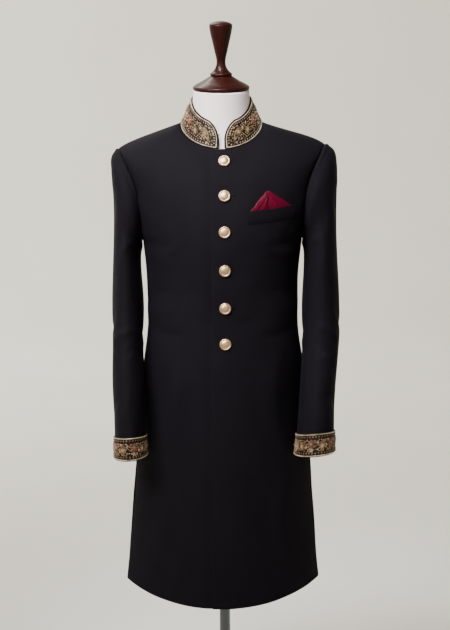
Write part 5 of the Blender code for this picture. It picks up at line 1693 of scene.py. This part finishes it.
tilt = math.radians(CAP_TILT_DEG)
cap_axis = Vector((0.0, -math.sin(tilt), math.cos(tilt)))
cap_foot = Vector(CAP_CENTRE) + cap_axis * SEAM_GAP
finial_foot = cap_foot + cap_axis * (CAP_HEIGHT + SEAM_GAP)
lean = Matrix.Rotation(tilt, 4, "X")
CAP_PROFILE = [
    (0.0, CAP_HEIGHT), (0.0225, 0.0304), (0.0245, 0.0297), (0.0262, 0.0283),
    (0.0300, 0.0258), (0.0400, 0.0198), (0.0520, 0.0135), (0.0580, 0.0098),
    (0.0604, 0.0078), (CAP_RADIUS, 0.0050), (0.0604, 0.0018), (0.0590, 0.0004),
    (0.0576, 0.0), (0.0, 0.0),
]
FINIAL_PROFILE = [
    (0.0, 0.1148), (0.0060, 0.1146), (0.0120, 0.1137), (0.0195, 0.1114), (0.0238, 0.1084),
    (0.0248, 0.1054), (0.0243, 0.0990), (0.0226, 0.0890), (0.0182, 0.0700), (0.0136, 0.0500),
    (0.0102, 0.0350), (0.0098, 0.0260), (0.0118, 0.0180), (0.0172, 0.0098), (0.0226, 0.0052),
    (0.0238, 0.0030), (0.0232, 0.0008), (0.0220, 0.0), (0.0, 0.0),
]
POLE_END = ((0.0, SEAM_GAP), (0.0112, SEAM_GAP), (POLE_RADIUS, 0.0012), (POLE_RADIUS, 0.0040))
POLE_PROFILE = [
    *((radius, FORM_BOTTOM_Z - off) for radius, off in POLE_END),
    *((radius, BASE_THICKNESS + off) for radius, off in POLE_END[::-1]),
]
BASE_PROFILE = [
    (0.0, BASE_THICKNESS), (0.026, BASE_THICKNESS), (0.0300, 0.0217), (0.0345, 0.0198),
    (0.040, 0.0187), (0.100, 0.0150), (0.165, 0.0105), (0.1770, 0.0092),
    (BASE_RADIUS, 0.0072), (BASE_RADIUS, 0.0020), (0.1785, 0.0), (0.1700, 0.0), (0.0, 0.0),
]
on_neck, on_cap = (Matrix.Translation(foot) @ lean for foot in (cap_foot, finial_foot))
upright = Matrix.Identity(4)
for node, name, profile, segments, place, material, slot, per_span in (
    ("neck_cap", "neck_cap_wood", CAP_PROFILE, 128, on_neck, WOOD, "stained_wood", 6),
    ("finial", "finial_wood", FINIAL_PROFILE, 96, on_cap, WOOD, "stained_wood", 6),
    ("pole", "pole_tube", POLE_PROFILE, 64, upright, STEEL, "polished_steel", 4),
    ("base", "base_plate", BASE_PROFILE, 160, upright, STEEL, "polished_steel", 4),
):
    turned = turned_piece(name, profile, segments, place, material, slot, per_span)
    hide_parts(node)


# ---------------------------------------------------------------- the cut of each cloth piece, looked up and not used further
# The cut of what shows of each cloth piece, without turnings: width, length and area in metres.
CUTS = {
    "front": (0.313, 1.092, 0.268),
    "back": (0.270, 1.088, 0.246),
    "top_sleeve": (0.280, 0.682, 0.160),
    "under_sleeve": (0.128, 0.514, 0.049),
    "collar": (0.527, 0.067, 0.0253),
    "cuff": (0.330, 0.050, 0.0142),
    "welt": (0.110, 0.0266, 0.0029),
    "square": (0.096, 0.052, 0.0027),
}


def declare(piece, cut, with_pieces=()):
    width, length, area = CUTS[cut]
    list(with_pieces)


for hand in ("left", "right"):
    fronts, backs, tops = f"front_{hand}", f"back_{hand}", f"top_sleeve_{hand}"
    declare(coat[fronts], "front", [buttonholes] if hand == "left" else [])
    declare(coat[backs], "back")
    declare(coat[tops], "top_sleeve")
    declare(coat[f"under_sleeve_{hand}"], "under_sleeve")
    declare(cuffs[hand], "cuff", cuff_threads[hand])
declare(collar_band, "collar", collar_threads)
declare(welt, "welt")
declare(square, "square", [square_hem])


# ---------------------------------------------------------------- camera, stage and lights
def make_camera():
    """The photograph's view: 3.14 m away, 1.53 m high, tipped down 7.8 degrees and rolled 0.4."""
    data = bpy.data.cameras.new("photo_camera")
    data.lens, data.sensor_width = 82.4, 36.0
    camera = bpy.data.objects.new("photo_camera", data)
    bpy.context.scene.collection.objects.link(camera)
    pitch, roll = math.radians(90 - 7.838), math.radians(-0.4)
    turn = Matrix.Rotation(pitch, 4, "X") @ Matrix.Rotation(roll, 4, "Z")
    camera.matrix_world = Matrix.Translation((0.0048, -3.1429, 1.5283)) @ turn
    data.clip_start, data.clip_end = 0.05, 60
    bpy.context.scene.camera = camera


def make_stage():
    """A pale round floor that sweeps up into a wall all round the stand and the camera."""
    radius, bend, top = 9.0, 2.5, 7.5
    arc = np.linspace(0, np.pi / 2, 14)
    flat = np.linspace(0.0, radius - bend, 10)
    reach = np.concatenate([flat, radius - bend + bend * np.sin(arc[1:]), [radius, radius]])
    height = np.concatenate([0 * flat, bend * (1 - np.cos(arc[1:])), [(top + bend) / 2, top]])
    turn = np.linspace(0, 2 * np.pi, 96, endpoint=False)
    across, up = reach[:, None], height[:, None]
    points = np.stack([across * np.cos(turn), across * np.sin(turn), up + 0 * turn], -1)
    faces = faces_of_grid(len(reach), len(turn), True)
    mesh = bpy.data.meshes.new("studio_sweep")
    mesh.from_pydata(points.reshape(-1, 3).tolist(), [], faces.tolist())
    mesh.shade_smooth()
    material, shader, place = new_material("studio_paper", "Object", "#f0efe9", 0.95)
    mottle = add(material, "TexNoise", "Fac", {"Vector": place, "Scale": 0.9, "Detail": 2.0})
    shade = add(
        material, "Mix", 2, {"Factor": mottle, 6: "#e2e0d8", 7: "#eeede6"}, data_type="RGBA"
    )
    fit(shader, {"Base Color": shade})
    mesh.materials.append(material)
    sweep = bpy.data.objects.new("studio_sweep", mesh)
    bpy.context.scene.collection.objects.link(sweep)


def add_light(name, place, target, size, power, colour="#ffffff", spread=180.0):
    """A round softbox. spread is the angle in degrees that its grid lets through."""
    data = bpy.data.lights.new(name, "AREA")
    data.spread = math.radians(spread)
    data.shape = "DISK"
    data.size = size
    data.energy = power
    data.color = linear(colour)[:3]
    light = bpy.data.objects.new(name, data)
    light.location = place
    way = Vector(target) - Vector(place)
    light.rotation_euler = way.to_track_quat("-Z", "Y").to_euler()
    bpy.context.scene.collection.objects.link(light)


make_camera()
make_stage()
add_light("key", (-1.7, -1.8, 2.9), (-0.15, 0.0, 1.25), 1.3, 16.4, "#fff9f4", spread=64.0)
add_light("fill", (0.9, -3.5, 1.3), (0.0, 0.0, 1.0), 1.6, 9, "#ffe8d4")
add_light("top", (-0.50, -1.25, 3.0), (-0.06, -0.1, 1.41), 0.7, 4.1, "#fbfaff", spread=34.0)
add_light("backdrop", (-2.2, 4.2, 6.2), (-1.5, 7.6, 0.0), 4.0, 670, "#fffbf2")
world = bpy.data.worlds.new("studio")
bpy.context.scene.world = world
world.use_nodes = True
fit(world.node_tree.nodes["Background"], {"Color": "#f4f0ea", "Strength": 0.17})
